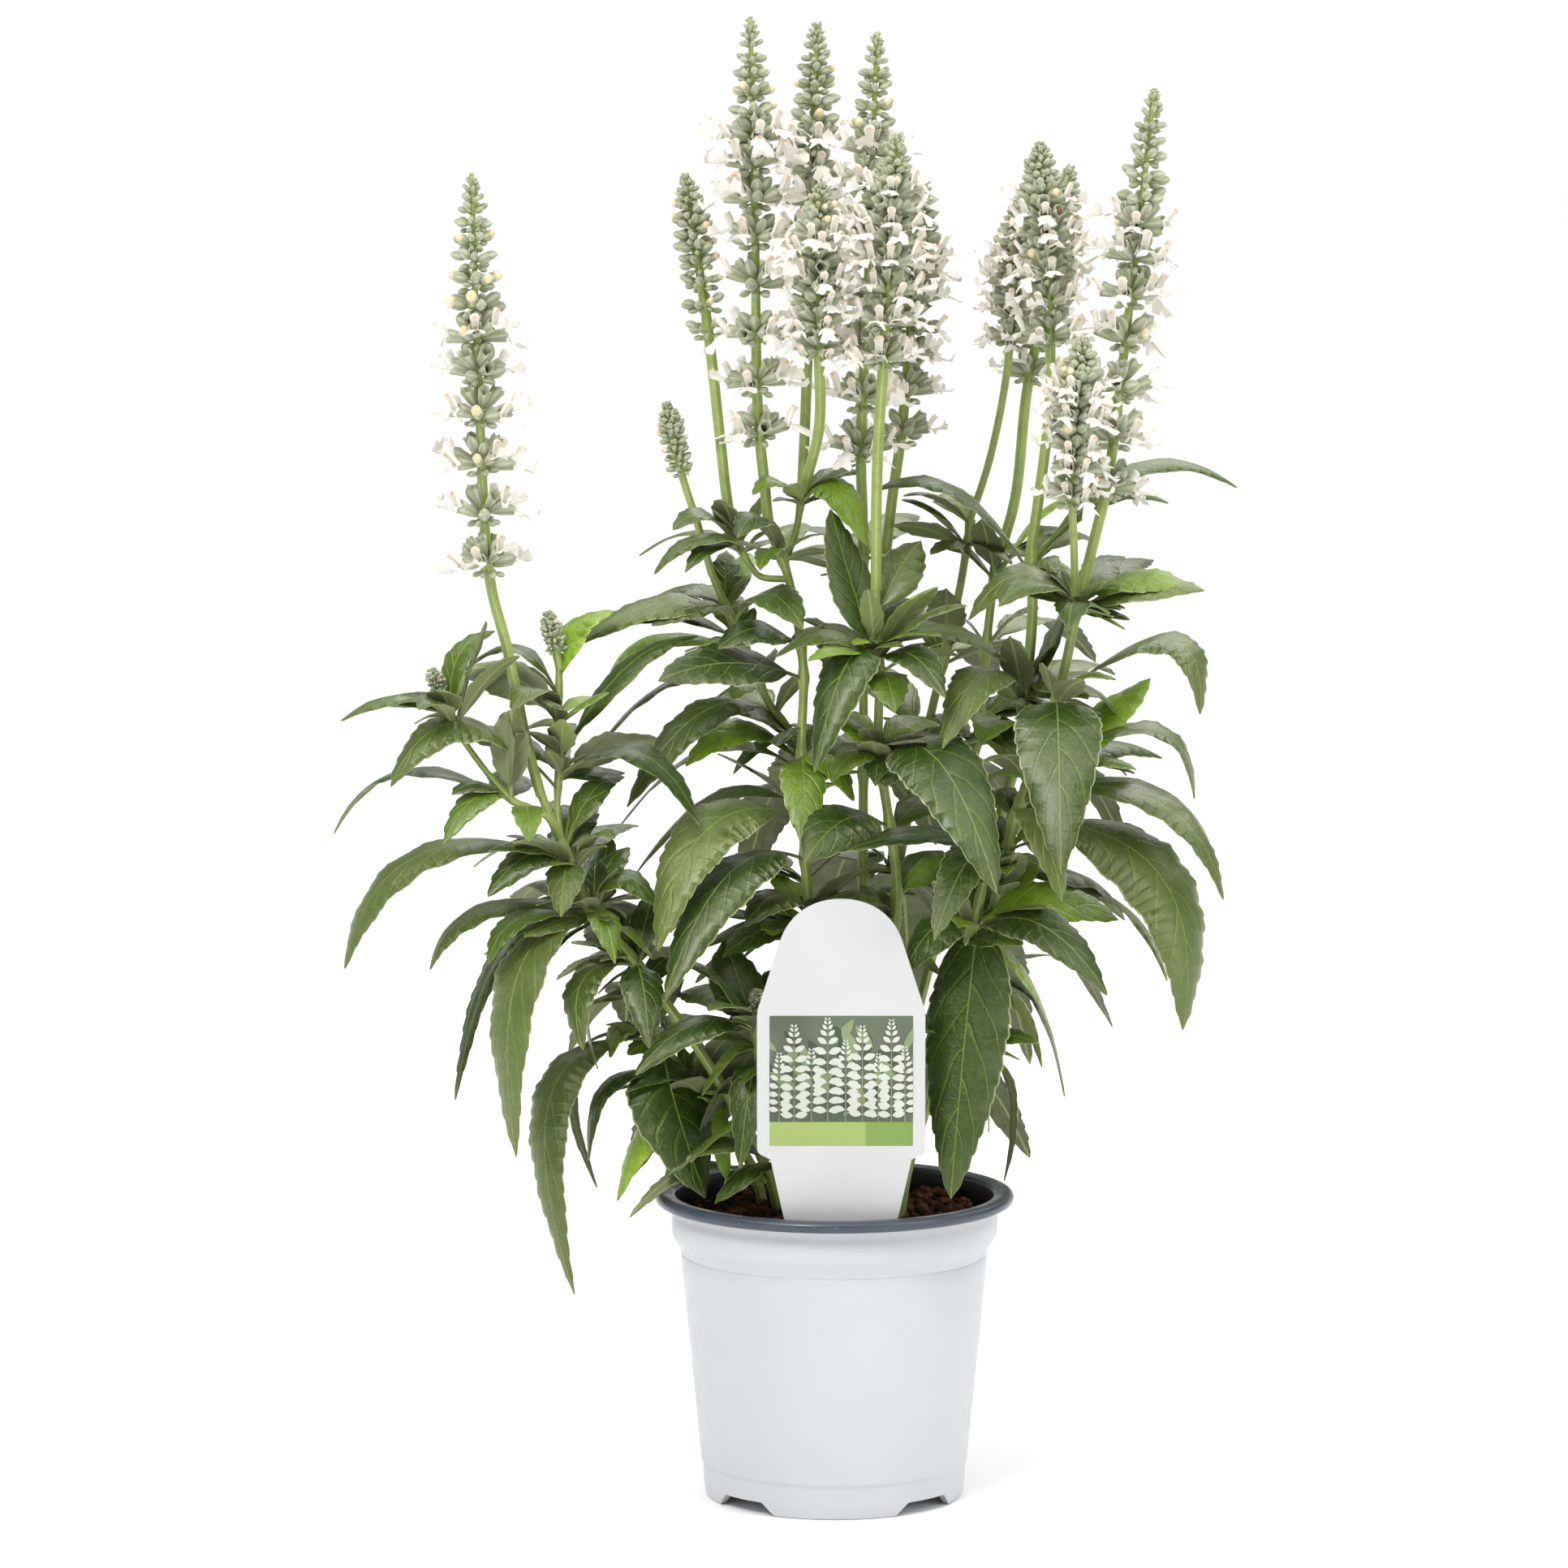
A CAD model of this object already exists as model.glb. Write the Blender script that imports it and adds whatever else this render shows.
"""A potted mealycup sage in a white nursery pot with a plant tag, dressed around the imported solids.

The plant's tables are in millimetres. A plant point is [x, depth, z]: x and z where it shows on the upright
plane through the pot's axis when seen from EYE, and how far behind that plane it lies. Meshes are made in
metres, in the part's own frame."""

import math

import bpy
import numpy as np
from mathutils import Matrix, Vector
from mathutils.bvhtree import BVHTree


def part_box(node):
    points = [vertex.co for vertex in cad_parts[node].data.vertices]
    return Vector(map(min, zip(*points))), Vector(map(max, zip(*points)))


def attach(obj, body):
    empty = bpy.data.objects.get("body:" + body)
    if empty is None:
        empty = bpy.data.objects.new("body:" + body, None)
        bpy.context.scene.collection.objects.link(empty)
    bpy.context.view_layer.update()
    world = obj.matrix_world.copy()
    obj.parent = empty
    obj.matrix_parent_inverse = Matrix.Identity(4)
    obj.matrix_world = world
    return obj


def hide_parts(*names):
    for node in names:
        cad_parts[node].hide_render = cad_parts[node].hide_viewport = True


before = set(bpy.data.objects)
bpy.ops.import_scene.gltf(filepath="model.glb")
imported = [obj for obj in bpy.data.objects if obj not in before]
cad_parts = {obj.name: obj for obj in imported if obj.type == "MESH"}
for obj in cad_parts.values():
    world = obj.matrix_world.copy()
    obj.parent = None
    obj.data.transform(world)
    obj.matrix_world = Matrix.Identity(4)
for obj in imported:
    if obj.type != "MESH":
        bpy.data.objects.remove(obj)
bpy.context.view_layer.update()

MM = 0.001
UP = np.array([0.0, 0.0, 1.0])

# View: where the eye stands and looks, in plant millimetres, and the photograph's focal length in its pixels
EYE = np.array([-16.0, -2000.0, 460.0])
AIM = np.array([-16.0, 0.0, 227.3])
FOCAL_PIXELS = 7870
FRAME_PIXELS = 1932
SENSOR = 36.0

# Light, in metres and watts: each lamp's name, place, width and height, and power
LAMPS = [
    ("key", (-0.8, -1.5, 1.9), (0.7, 0.7), 26),
    ("fill", (1.6, -1.0, 1.2), (0.9, 1.2), 10),
    ("back", (0.5, 1.3, 1.4), (1.6, 0.8), 9),
]
LAMP_AIM = (0, 0, 0.22)
# How bright the sky is at each height, from the horizon at 0 to straight above at 1
SKY = [(0.0, 1.03), (0.1, 1.03), (0.2, 0.18), (0.6, 0.18), (0.82, 2.0), (1.0, 2.0)]

# Pot
POT_COLUMNS = 192
POT_HEIGHT = 97.5
LIP_RADIUS = 57.0
LIP_UNDERSIDE = 93.8
COLLAR_RADIUS = 51.8
BASE_RADIUS = 41.9
FLOOR_BOTTOM = 4.5
FLOOR_TOP = 6.5
NOTCH_HEIGHT = 4.2
NOTCH_FOOT = 13.4
NOTCH_HEAD = 8.0
DRAIN_RADIUS = 4.0
DRAIN_CIRCLE = 31.0

# Soil: how much its middle part and its crown stand above the plain solid, and its wall as radius and height
SOIL_TOP = 86.5
SOIL_HEAP = (4.2, 2.4)
SOIL_WALL = [(48.6, 83.3), (49.0, 84.0), (47.2, 80.0), (45.9, 66.6), (40.4, 15.0), (39.3, 6.9), (0.01, 6.9)]
SOIL_COLUMNS = 150
CRUMBS = 1150

# Tag
TAG_THICKNESS = 0.9
TAG_BEVEL = 0.18
TAG_CENTRE_X = 1.7
TAG_FRONT_Y = -44.2
TAG_HALF_WIDTH = 26.1
TAG_TOP = 196.7
STAKE_TIP = 58.0
PRINT_LIFT = 0.04
LAYER_LIFT = 0.006
PANEL = (-22.2, 126.9, 22.3, 160.2)
BAND = (-22.2, 119.4, 22.3, 126.9)
BAND_SPLIT = 7.6
# The printed motif's spikes, each its x, the share of the panel's height that it reaches, and its size
PRINT_SPIKES = [
    (-19.2, 0.66, 0.8), (-14.6, 0.92, 1.0), (-9.2, 0.7, 0.85), (-4.2, 0.97, 1.05), (1.4, 0.76, 0.9),
    (6.6, 0.9, 1.0), (11.6, 0.64, 0.8), (15.6, 0.95, 1.0), (19.8, 0.72, 0.8),
]
PRINT_LEAVES = 38
# The print's materials and their slots
PRINT_PAINTS = ["print_ground", "print_leaf", "print_white", "print_band", "print_band_end", "print_shade"]
PRINT_GROUND, PRINT_LEAF, PRINT_WHITE, PRINT_BAND, PRINT_BAND_END, PRINT_SHADE = range(6)
# The plain plastics of the tag and its print, each as two tones from 0 to 255
CARDS = {
    "card": [(199, 201, 200), (203, 204, 203)],
    "print_ground": [(74, 84, 64), (98, 108, 86)],
    "print_leaf": [(112, 132, 88), (134, 152, 110)],
    "print_white": [(194, 198, 184), (206, 209, 198)],
    "print_band": [(152, 174, 96), (146, 168, 88)],
    "print_band_end": [(122, 152, 70), (116, 146, 66)],
    "print_shade": [(50, 62, 44), (64, 78, 56)],
}

# Leaves: across their width they are drawn at these shares of their half width
LEAF_ACROSS = np.array([-1, -0.93, -0.7, -0.32, 0, 0.32, 0.7, 0.93, 1])
SMALL_LEAF_ACROSS = np.array([-1, -0.9, -0.45, 0, 0.45, 0.9, 1])
SMALL_LEAF_WIDTH = 10
FOLD = 0.3
PETIOLE_SHARE = 0.13
PETIOLE_HALF_WIDTH = 0.8
BLADE_THICKNESS = 0.35
RIB_THICKNESS = 0.7
RIB_HALF_WIDTH = 0.7
EDGE_THICKNESS = 0.02
TOOTH_SPACING = 4.8
TOOTH_DEPTH = 0.7
LEAF_FULLNESS = 0.12
WAVE_LENGTH = 17.0
VEIN_PAIRS = 6.4
# A leaf whose tip lies this deep is at the back, where the ramp of tints is left for the dull grey one
BACK_DEPTH = 40
BACK_TINT = -1
# Young leaves: the share of leaves with some in their angle, and how far forwards those reach, clear of the
# tag. The first rows of LEAVES, the broad leaves, have none
YOUNG_LEAVES = 0.9
YOUNG_LEAF_FRONT = -36.0
BROAD_LEAVES = 15

# Spikes. A bloom's profile is its radius at shares of its length
STALK_RADIUS = 1.5
STALK_STEP = 0.5
WHORL_SPACING = 15.5
# The flower reach at which a flower is drawn in plain millimetres
FLOWER_REACH = 19.5
HOOD = 6.8
LIP = 8.8
BELL = [(0, 0.32), (0.14, 0.55), (0.4, 0.82), (0.72, 0.98), (1.0, 1.12), (0.97, 0.9), (0.55, 0.55)]
BUD = [(0, 0.3), (0.12, 0.66), (0.38, 0.98), (0.66, 0.96), (0.88, 0.58), (1.0, 0.04)]
BEAD = [(0, 0.5), (0.5, 1.0), (1.0, 0.1)]
PEDICEL = [(0, 1.2), (1.0, 0.9)]
# A spike's materials and their slots
SPIKE_PAINTS = ["stem", "calyx", "petal", "anther", "withered", "bud_tip"]
STALK, CALYX, PETAL, ANTHER, WITHERED, BUD_TIP = range(6)
# A whorl's rings of calyces: how many, how far above its middle and how long as shares of its reach, and
# their climb in degrees
CLOSED_WHORL = [(8, 0.0, 1.0, 20), (6, -0.17, 0.62, -4)]
OPEN_WHORL = [(7, 0.0, 1.04, 17), (5, 0.24, 1.0, 50), (6, -0.22, 0.56, -12)]
TIP_WHORL = [(6, 0.0, 1.0, 34), (5, 0.4, 0.7, 50)]

# Stems 1 to 12, each a list of paths: [lower radius, upper radius, [point, ...]]
STEMS = [
    [
        [2.3, 1.7, [[-15, -4, 66], [-20, -5, 100], [-40, -10, 138], [-65, -16, 173], [-77.5, -18, 188],
            [-86.5, -18, 209], [-93, -17, 225]]],
        [1.3, 1.1, [[-86.5, -18, 209], [-87.5, -14, 219.5], [-86.8, -10, 234], [-86.7, -8, 250],
            [-87, -8, 265]]],
        [1.3, 1.1, [[-86.5, -18, 209], [-91, -22, 217], [-101, -24, 221.6], [-104.7, -24, 225],
            [-118.5, -22, 243.5], [-123.5, -20, 254]]],
    ],
    [
        [2.2, 1.4, [[-10, 12, 66], [-9, 14, 100], [-9, 15, 160], [-9, 16, 200], [-12, 16, 240],
            [-20.3, 14, 252], [-30, 12, 274.5], [-35, 11, 285], [-39, 10, 294.7]]],
    ],
    [
        [2.3, 1.6, [[-3, -2, 66], [-4, -2, 100], [-7, -2, 170], [-9.5, -3, 206], [-10.5, -4, 239],
            [-10, 0, 265], [-14.5, 4, 292], [-18, 4, 302]]],
        [1.3, 1.2, [[-14.5, 4, 292], [-23.6, 7, 293], [-27, 9, 297], [-32, 11, 306]]],
        [1.4, 1.2, [[-16.3, 4, 297], [-12.6, 6, 306], [-10, 6, 321]]],
    ],
    [
        [2.3, 1.6, [[7, -10, 66], [8, -10, 100], [14, -10, 150], [19.6, -10, 193], [17, -12, 216],
            [13.8, -14, 239], [14, -14, 264], [12.8, -14, 272], [12.9, -14, 290]]],
    ],
    [
        [2.3, 1.6, [[9, 12, 66], [9, 13, 100], [9, 15, 135], [9, 18, 200], [9, 20, 240], [9, 22, 270],
            [9, 24, 300]]],
        [1.4, 1.3, [[9, 22, 270], [16, 28, 300]]],
    ],
    [
        [2.5, 2, [[17, 6, 66], [19, 7, 100], [44, 12, 190], [57, 12, 235], [60, 12, 257], [62, 12, 280],
            [61.6, 12, 302]]],
    ],
    [
        [2.6, 1.8, [[20, -8, 66], [22, -8, 100], [38, -14, 150], [52, -16, 193], [56.7, -16, 216],
            [61.8, -16, 229], [70.7, -18, 257], [77.1, -18, 288]]],
        [1.3, 1.2, [[75.6, -18, 281], [75.4, -21.6, 288]]],
    ],
    [
        [2.2, 1.6, [[13, 20, 66], [15, 21, 100], [24, 24, 145], [35, 26, 190], [46, 32, 250], [48, 32, 275],
            [50.5, 32, 296]]],
    ],
    [
        [2.2, 1.5, [[3, 21, 66], [5, 22, 100], [20, 32, 200], [27, 34, 235], [35, 36, 270],
            [39.5, 36, 290.6], [42.6, 36, 311]]],
    ],
    [
        [2, 1.5, [[-13, -14, 66], [-16, -16, 100], [-22, -20, 130], [-25, -22, 150], [-25, -22, 154]]],
    ],
    [
        [2, 1.5, [[19, -17, 66], [22, -18, 100], [34, -23, 150], [44, -24, 184], [47, -22, 196]]],
    ],
    [
        [2.2, 1.4, [[-21, 4, 66], [-25, 4, 102], [-42, 2, 128], [-56, 0, 146], [-66, 2, 160]]],
    ],
]

# Spikes 1 to 17: [stalk thickness, calyx reach, flower reach, share of its whorls in flower, where on its
# line the whorls start, [point, ...] from its foot]
SPIKES = [
    [1, 9.5, 16, 0.5, 0.36, [[-93.2, -17, 225.6], [-97, -16, 240], [-103, -14, 270], [-108.3, -12, 291.5],
        [-111.5, -12, 350], [-113.4, -12, 419]]],
    [0.72, 3.6, 4, 0, 0.3, [[-87, -8, 265.6], [-88, -8, 272], [-90.2, -8, 281]]],
    [0.72, 3, 3.4, 0, 0.25, [[-123.7, -20, 254.6], [-124.5, -20, 257], [-126.7, -20, 263]]],
    [0.72, 4.6, 5, 0, 0.6, [[-39.2, 10, 295.3], [-43, 10, 309], [-48.6, 10, 327], [-52.6, 10, 346.8]]],
    [1, 7, 8.5, 0, 0.56, [[-32.1, 11, 306.9], [-34, 12, 318], [-36, 13, 336], [-40, 15, 372],
        [-46.9, 16, 418]]],
    [1, 9.5, 16.5, 0.6, 0.2, [[-18.3, 4, 302.9], [-20.6, 3, 309], [-22, 2, 321], [-24.2, 0, 345],
        [-25, -1, 400], [-26.5, -2, 467.5]]],
    [1, 9, 14, 0.5, 0.34, [[-10.2, 7, 321.7], [-9.6, 14, 336], [-8.5, 28, 365], [-7, 36, 400],
        [-5.8, 38, 465.5]]],
    [1, 8.5, 13, 0.6, 0.5, [[-9.4, 4.2, 321.4], [-5, -10, 340], [-5, -24, 362], [-5.5, -28, 385],
        [-4.5, -29, 415]]],
    [1, 9.5, 16, 0.6, 0.2, [[9, 23.9, 301], [8.6, 18, 314], [8.1, 10, 332], [10, 6, 380], [12.9, 4, 463.2]]],
    [1, 9, 14.5, 0.65, 0.5, [[12.9, -14, 290.7], [13, -16, 317], [13.6, -20, 336], [15.2, -25, 362],
        [19.1, -29, 430.2]]],
    [1, 9, 14, 0.6, 0.3, [[16.1, 28.2, 300.7], [18, 32, 318], [20.8, 36, 338], [24, 38, 378],
        [27.5, 38, 418]]],
    [1, 9, 13.5, 0.6, 0.52, [[61.7, 12, 302.7], [63.8, 10, 317], [67, 6, 345], [67.2, 4, 368], [66, 4, 395],
        [63.6, 4, 428]]],
    [1, 8.5, 12, 0.5, 0.47, [[50.6, 32, 296.7], [56.4, 34, 317], [60.2, 38, 352], [67, 42, 385],
        [73.3, 43, 420.7]]],
    [0.72, 8, 11, 0.5, 0.58, [[42.7, 36, 311.7], [48, 33, 328], [53, 27, 352], [55.5, 23, 375],
        [56.7, 22, 408.6]]],
    [1, 9.5, 16, 0.6, 0.19, [[77.6, -18, 288.9], [81.5, -15, 305], [85.3, -11, 321.5], [90, -7, 360],
        [99.4, -4, 445.7]]],
    [0.72, 8.5, 12.5, 0.6, 0.37, [[75.4, -22, 288.8], [75, -26, 303], [74.3, -31, 320], [75.5, -35, 340],
        [77.4, -37, 367]]],
    [0.72, 2.6, 3, 0, 0.2, [[-25, -22, 154.7], [-25, -22, 157], [-24.5, -22, 161]]],
]

# Leaf: [stem, where its stalk leaves the stem as x and z, tip as x, depth and z, how far the middle bows up,
# how far it bows to the right, width, roll towards the eye in degrees]
LEAVES = [
    # The broad leaves at the front
    [7, 70.9, 257, 71.5, -62, 198.5, 17, 0, 27, 0], [11, 47, 195, 37, -42, 91.7, 6, 0, 27, 0],
    [7, 57, 217, 110.3, -44, 148.9, 16, 18, 29, 24], [4, 13.8, 239, 51.2, -70, 192.5, 20, 0, 27, 20],
    [3, -9.5, 206, -53.7, -52, 161.2, 17, -2, 22, 14], [1, -78, 188, -101, -54, 114.2, 20, -12, 22, 0],
    [12, -56, 146, -41, -22, 88.8, 6, -3, 28, 0], [3, -10, 218, -55.9, -34, 172, 17, -7, 22, 20],
    [3, -10, 264, -55.5, -26, 257, 5, 0, 19, 30], [4, 17, 216, -9.5, -44, 202.4, 8, 0, 22, 26],
    [11, 44, 186, 22, -36, 167, 8, 0, 20, 10], [4, 12.8, 272, -6.5, -46, 231, 14, 0, 17, 4],
    [7, 71, 258, 115, -40, 249.4, 20, 12, 16, 16], [1, -86.5, 208, -155, -34, 171.5, 17, -12, 20, 14],
    [1, -88, 228, -140, -36, 229.5, 20, -4, 20, 18],
    # The left side, from the top
    [1, -87, 262, -119, -14, 267, 12, 2, 13, 14], [1, -87, 262, -69, -2, 282, 5, -5, 13, 20],
    [1, -86.8, 250, -118, 8, 263, 6, 0, 17, 26], [1, -86.8, 250, -101.5, -30, 250.5, 9, 0, 13, 8],
    [1, -86.8, 238, -43, 4, 274, 10, 0, 12, 16], [1, -86.8, 234, -50, 14, 240, 5, 0, 14, 22],
    [1, -86.8, 234, -42.6, -28, 214.3, 14, 3, 17, 12], [1, -86.8, 234, -119, 2, 245, 3, 0, 13, 18],
    [1, -123, 252, -155.5, -30, 247.3, 6, 0, 9, 14], [1, -122, 250, -107, -12, 278.7, 5, -5, 9, 16],
    [1, -122, 250, -131, -42, 251, 5, 0, 9, 14], [1, -104.7, 225, -158, -12, 217.7, 14, -6, 15, 14],
    [1, -103, 223, -123.5, -44, 208, 8, 0, 11, 8], [1, -101, 222, -96.3, -46, 209, 4, 0, 9, 0],
    [1, -86.5, 209, -66.3, -2, 229.5, 7, 0, 10, 18], [1, -86.5, 209, -114, 0, 201, 6, 0, 10, 16],
    [1, -85, 206, -109.5, -38, 191.5, 7, 0, 13, 14], [1, -84, 204, -86.5, -44, 185, 5, 0, 11, 0],
    [1, -84, 204, -69.4, -34, 210, 6, 0, 8, 10], [1, -78, 190, -128, -22, 171.2, 9, -9, 14, 14],
    [1, -78, 189, -109.5, -40, 170, 8, -6, 12, 8], [1, -78, 189, -107.5, -6, 179, 7, 0, 14, 22],
    [1, -78, 190, -55.6, -28, 188, 9, 0, 13, 18], [1, -78, 190, -71, 10, 212, -1, 0, 11, 20],
    [1, -78, 187, -69.4, -36, 170, 6, 0, 9, 0], [1, -78, 187, -120.3, 6, 129.5, 22, -6, 11, 0],
    [1, -65, 173, -79.6, -40, 145.5, 8, -8, 12, 0], [1, -65, 173, -88, 6, 171, 4, 0, 9, 18],
    [1, -65, 172, -58.7, -40, 143, 7, 0, 12, 0], [1, -64, 172, -75, -12, 136.2, 9, -9, 13, 0],
    [1, -65, 173, -84, 34, 156, 9, 0, 16, 8], [1, -77.5, 188, -104, 38, 184, 12, 0, 15, 8],
    # The lower left
    [12, -58, 148, -82.7, -30, 60.8, 22, -20, 15, 0], [12, -50, 138, -78, -24, 109, 12, -9, 13, 0],
    [12, -60, 150, -75.5, 0, 98.3, 14, -16, 13, 0], [12, -42, 128, -69, -14, 94, 11, -2, 18, 6],
    [12, -26, 104, -65, -34, 90.8, 9, 0, 9, 12], [12, -42, 128, -34, -26, 100, 7, 0, 9, 0],
    [12, -66, 160, -84, 30, 136, 10, 0, 15, 4], [12, -66, 160, -66, 44, 150, 10, 0, 14, 4],
    [12, -42, 128, -64, 54, 102, 14, 0, 19, 4], [10, -25, 152, -63, -52, 134.5, 9, 0, 13, 16],
    [10, -25, 152, -40, -50, 155, 4, 0, 9, 10], [10, -24, 142, -30, -40, 104.5, 9, 0, 12, 0],
    [10, -24, 144, -42, -22, 128, 6, 0, 12, 6], [10, -25, 153, -35, -12, 178, 1, 0, 18, 16],
    [10, -25, 153, -48, -34, 170, 6, 0, 19, 18],
    # The middle, from the top
    [3, -10.5, 318, 10, -6, 302.5, 12, 0, 14, 16], [3, -10, 321, -25.8, -4, 316.8, 5, 0, 8, 14],
    [3, -10, 321, 9, 12, 327.2, 4, 0, 9, 14], [3, -16, 304, -30.7, -16, 309, 10, 0, 12, 12],
    [3, -18, 302, -56.7, -12, 296.7, 9, -4, 11, 12], [3, -18, 301, -23.6, -24, 295, 4, 0, 8, 0],
    [3, -32, 306, -50.8, 0, 307.7, 7, 0, 10, 16], [3, -32, 306, -61.4, 18, 301.5, 5, 0, 8, 10],
    [3, -32, 305, -47, -16, 294.4, 5, 0, 8, 6], [2, -34, 284, -85.5, -6, 265.6, 9, 3, 14, 16],
    [2, -35, 285, -60, 28, 284, 5, 0, 10, 12], [2, -33, 282, -10, -12, 276, 10, 0, 15, 16],
    [2, -30, 275, -68.5, 8, 277, 6, 0, 11, 12], [2, -30, 274, -71, 22, 264.6, 8, -7, 13, 14],
    [2, -20.3, 252, -65.5, -8, 220, 15, 0, 16, 16], [2, -24, 260, -75, 20, 244, 11, -2, 13, 14],
    [2, -12, 241, -47, 2, 233, 10, 0, 14, 20], [2, -12, 236, -73.5, 30, 205.5, 18, 0, 10, 14],
    [2, -11, 226, -62.3, 14, 199.5, 14, 0, 11, 14], [3, -10.5, 239, -9.5, -34, 206.7, 7, 0, 13, 0],
    [2, -12, 240, -32, 34, 230.6, 7, 0, 9, 0], [3, -11, 275, -36.6, -6, 268, 6, 0, 16, 18],
    [3, -8.4, 190, -28, -30, 182, 8, 0, 13, 14], [4, 12.8, 274, -1.5, -4, 314, -2, 0, 15, 18],
    [4, 12.8, 274, 10.5, -30, 286, 2, 0, 7, 6], [4, 12.9, 282, 27, 0, 304, 3, 0, 14, 24],
    [4, 12.9, 272, -18.7, -24, 267.6, 7, 0, 13, 14], [4, 12.8, 272, 54, -6, 266, 8, 0, 13, 14],
    [4, 12.8, 272, 41.3, -26, 281.6, 5, 0, 10, 14], [4, 12.9, 270, 34.7, -36, 258.8, 7, 0, 12, 10],
    [4, 14, 264, 19, -42, 250, 4, 0, 12, 0], [4, 13.8, 240, 0, 4, 249.5, 4, 0, 10, 18],
    [4, 13.8, 241, 33, 10, 246, 4, 0, 10, 18], [4, 13.8, 239, -1, -34, 228, 6, 0, 10, 8],
    [5, 9, 270, -2, 58, 262, 10, 0, 17, 4], [5, 9, 300, 26, 50, 312, 5, 0, 12, 10],
    [5, 9, 298, -14, 46, 300, 5, 0, 12, 10],
    # The right side, from the top
    [6, 61.8, 300, 126, 24, 320.9, 18, 0, 11, 14], [6, 61.8, 299, 13, 0, 320, 13, 0, 15, 18],
    [6, 61.8, 299, 104.5, 8, 314, 11, 0, 9, 14], [6, 61.8, 298, 80, 40, 304, 6, 0, 15, 10],
    [6, 59.6, 256, 34, -34, 238.5, 17, 0, 16, 14], [6, 58, 242, 46, -22, 240, 7, 0, 14, 10],
    [6, 60.2, 258, 74, 12, 288, -1, 0, 14, 14], [6, 60.2, 258, 55, -12, 274, 2, 0, 10, 10],
    [6, 60.2, 259, 68, -4, 273, 2, 0, 9, 10], [7, 77.1, 287, 42, -26, 279.2, 12, 0, 14, 18],
    [7, 77, 286, 51.5, -40, 283.5, 7, 0, 11, 16], [7, 77.1, 287, 116, -34, 282.5, 4, 0, 14, 18],
    [7, 77.1, 287, 112, -6, 288, 6, 0, 13, 16], [7, 77.1, 287, 91, 10, 299, 3, 0, 10, 14],
    [7, 77.1, 288, 100, 26, 292, 4, 0, 10, 14], [7, 77, 284, 73.4, -48, 276, 5, 0, 10, 0],
    [7, 77.1, 287, 88, -30, 292, 3, 0, 8, 14], [7, 77.1, 286, 71, -2, 298, 2, 0, 8, 10],
    [7, 63, 233, 99.3, -6, 260.7, 1, 0, 17, 26], [7, 70.5, 256, 86, -34, 260.5, 5, 0, 7, 12],
    [7, 64, 236, 113.4, -22, 225.6, 16, 12, 14, 14], [7, 62.5, 231, 103.2, 10, 235.5, 8, 0, 13, 16],
    [7, 62, 230, 119.3, -10, 211.5, 10, 10, 15, 18], [7, 61, 227, 122.8, -36, 190.6, 12, 11, 14, 16],
    [7, 60.5, 226, 95, -44, 232, 7, 0, 9, 16], [7, 57.5, 219, 71.8, -48, 189.9, 12, 0, 13, 0],
    [7, 54, 203, 91.7, -8, 190, 9, 3, 20, 20], [7, 55, 208, 4, -38, 206, 6, 0, 13, 18],
    [7, 55, 208, 31.4, -52, 175.4, 12, 0, 14, 6], [7, 52.5, 195, 105.3, 2, 164.7, 13, 8, 12, 12],
    [11, 45, 186, 89.6, -22, 184, 6, 0, 18, 30], [11, 45, 186, 86.2, -52, 160, 12, 0, 17, 26],
    [11, 43, 181, 49, -14, 114, 6, 2, 16, 0], [11, 42, 178, 68.3, -10, 147, 5, 3, 14, 12],
    [7, 43, 168, 73, -38, 127.6, 16, 4, 9, 6], [7, 41, 160, 65.8, 6, 137, 13, 3, 9, 6],
    [7, 38, 150, 54, -14, 100.5, 10, 10, 9, 0], [9, 42, 306, 21, 22, 317, 4, 0, 13, 16],
    [9, 42.6, 311, 32, 52, 318, 4, 0, 12, 10], [9, 36, 274, 35, 8, 289, 2, 0, 11, 6],
    [8, 50.5, 296, 46, 14, 311, 2, 0, 10, 10], [8, 50.5, 295, 75, 22, 312, 6, 0, 9, 12],
    [8, 48, 276, 64, 24, 283, 3, 0, 10, 14],
    # The back
    [5, 9, 200, -4, 96, 168, 20, 0, 25, 0], [5, 9, 240, -22, 86, 218, 14, 0, 20, 0],
    [5, 9, 240, 32, 98, 208, 16, 0, 22, 0], [9, 13, 152, 10, 96, 106, 16, 0, 23, 0],
    [5, 9, 135, -30, 84, 112, 14, 0, 20, 0], [8, 35, 190, 88, 74, 150, 20, 0, 23, 6],
    [8, 35, 190, 62, 98, 138, 20, 0, 21, 0], [8, 46, 250, 92, 62, 230, 14, 0, 19, 8],
    [8, 48, 275, 82, 74, 266, 12, 0, 15, 6], [8, 24, 145, 62, 72, 108, 14, 0, 21, 0],
    [9, 20, 200, 24, 112, 148, 20, 0, 24, 0], [9, 29, 246, 2, 98, 262, 12, 0, 16, 0],
    [9, 27, 235, 64, 90, 204, 16, 0, 20, 0], [9, 35, 270, 50, 88, 258, 12, 0, 17, 0],
    [9, 35, 270, 16, 82, 280, 10, 0, 15, 0], [2, -9, 160, -34, 80, 128, 16, 0, 22, 0],
    [2, -9, 200, -52, 72, 180, 16, 0, 21, 6], [2, -11, 225, -28, 92, 196, 16, 0, 20, 0],
    [2, -20.3, 252, -44, 66, 240, 10, 0, 15, 4], [2, -30, 274.5, -41, 56, 287, 5, 0, 11, 4],
    [6, 57, 235, 92, 50, 206, 16, 0, 18, 8], [6, 60, 257, 88, 44, 262, 8, 0, 14, 8],
]

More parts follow.
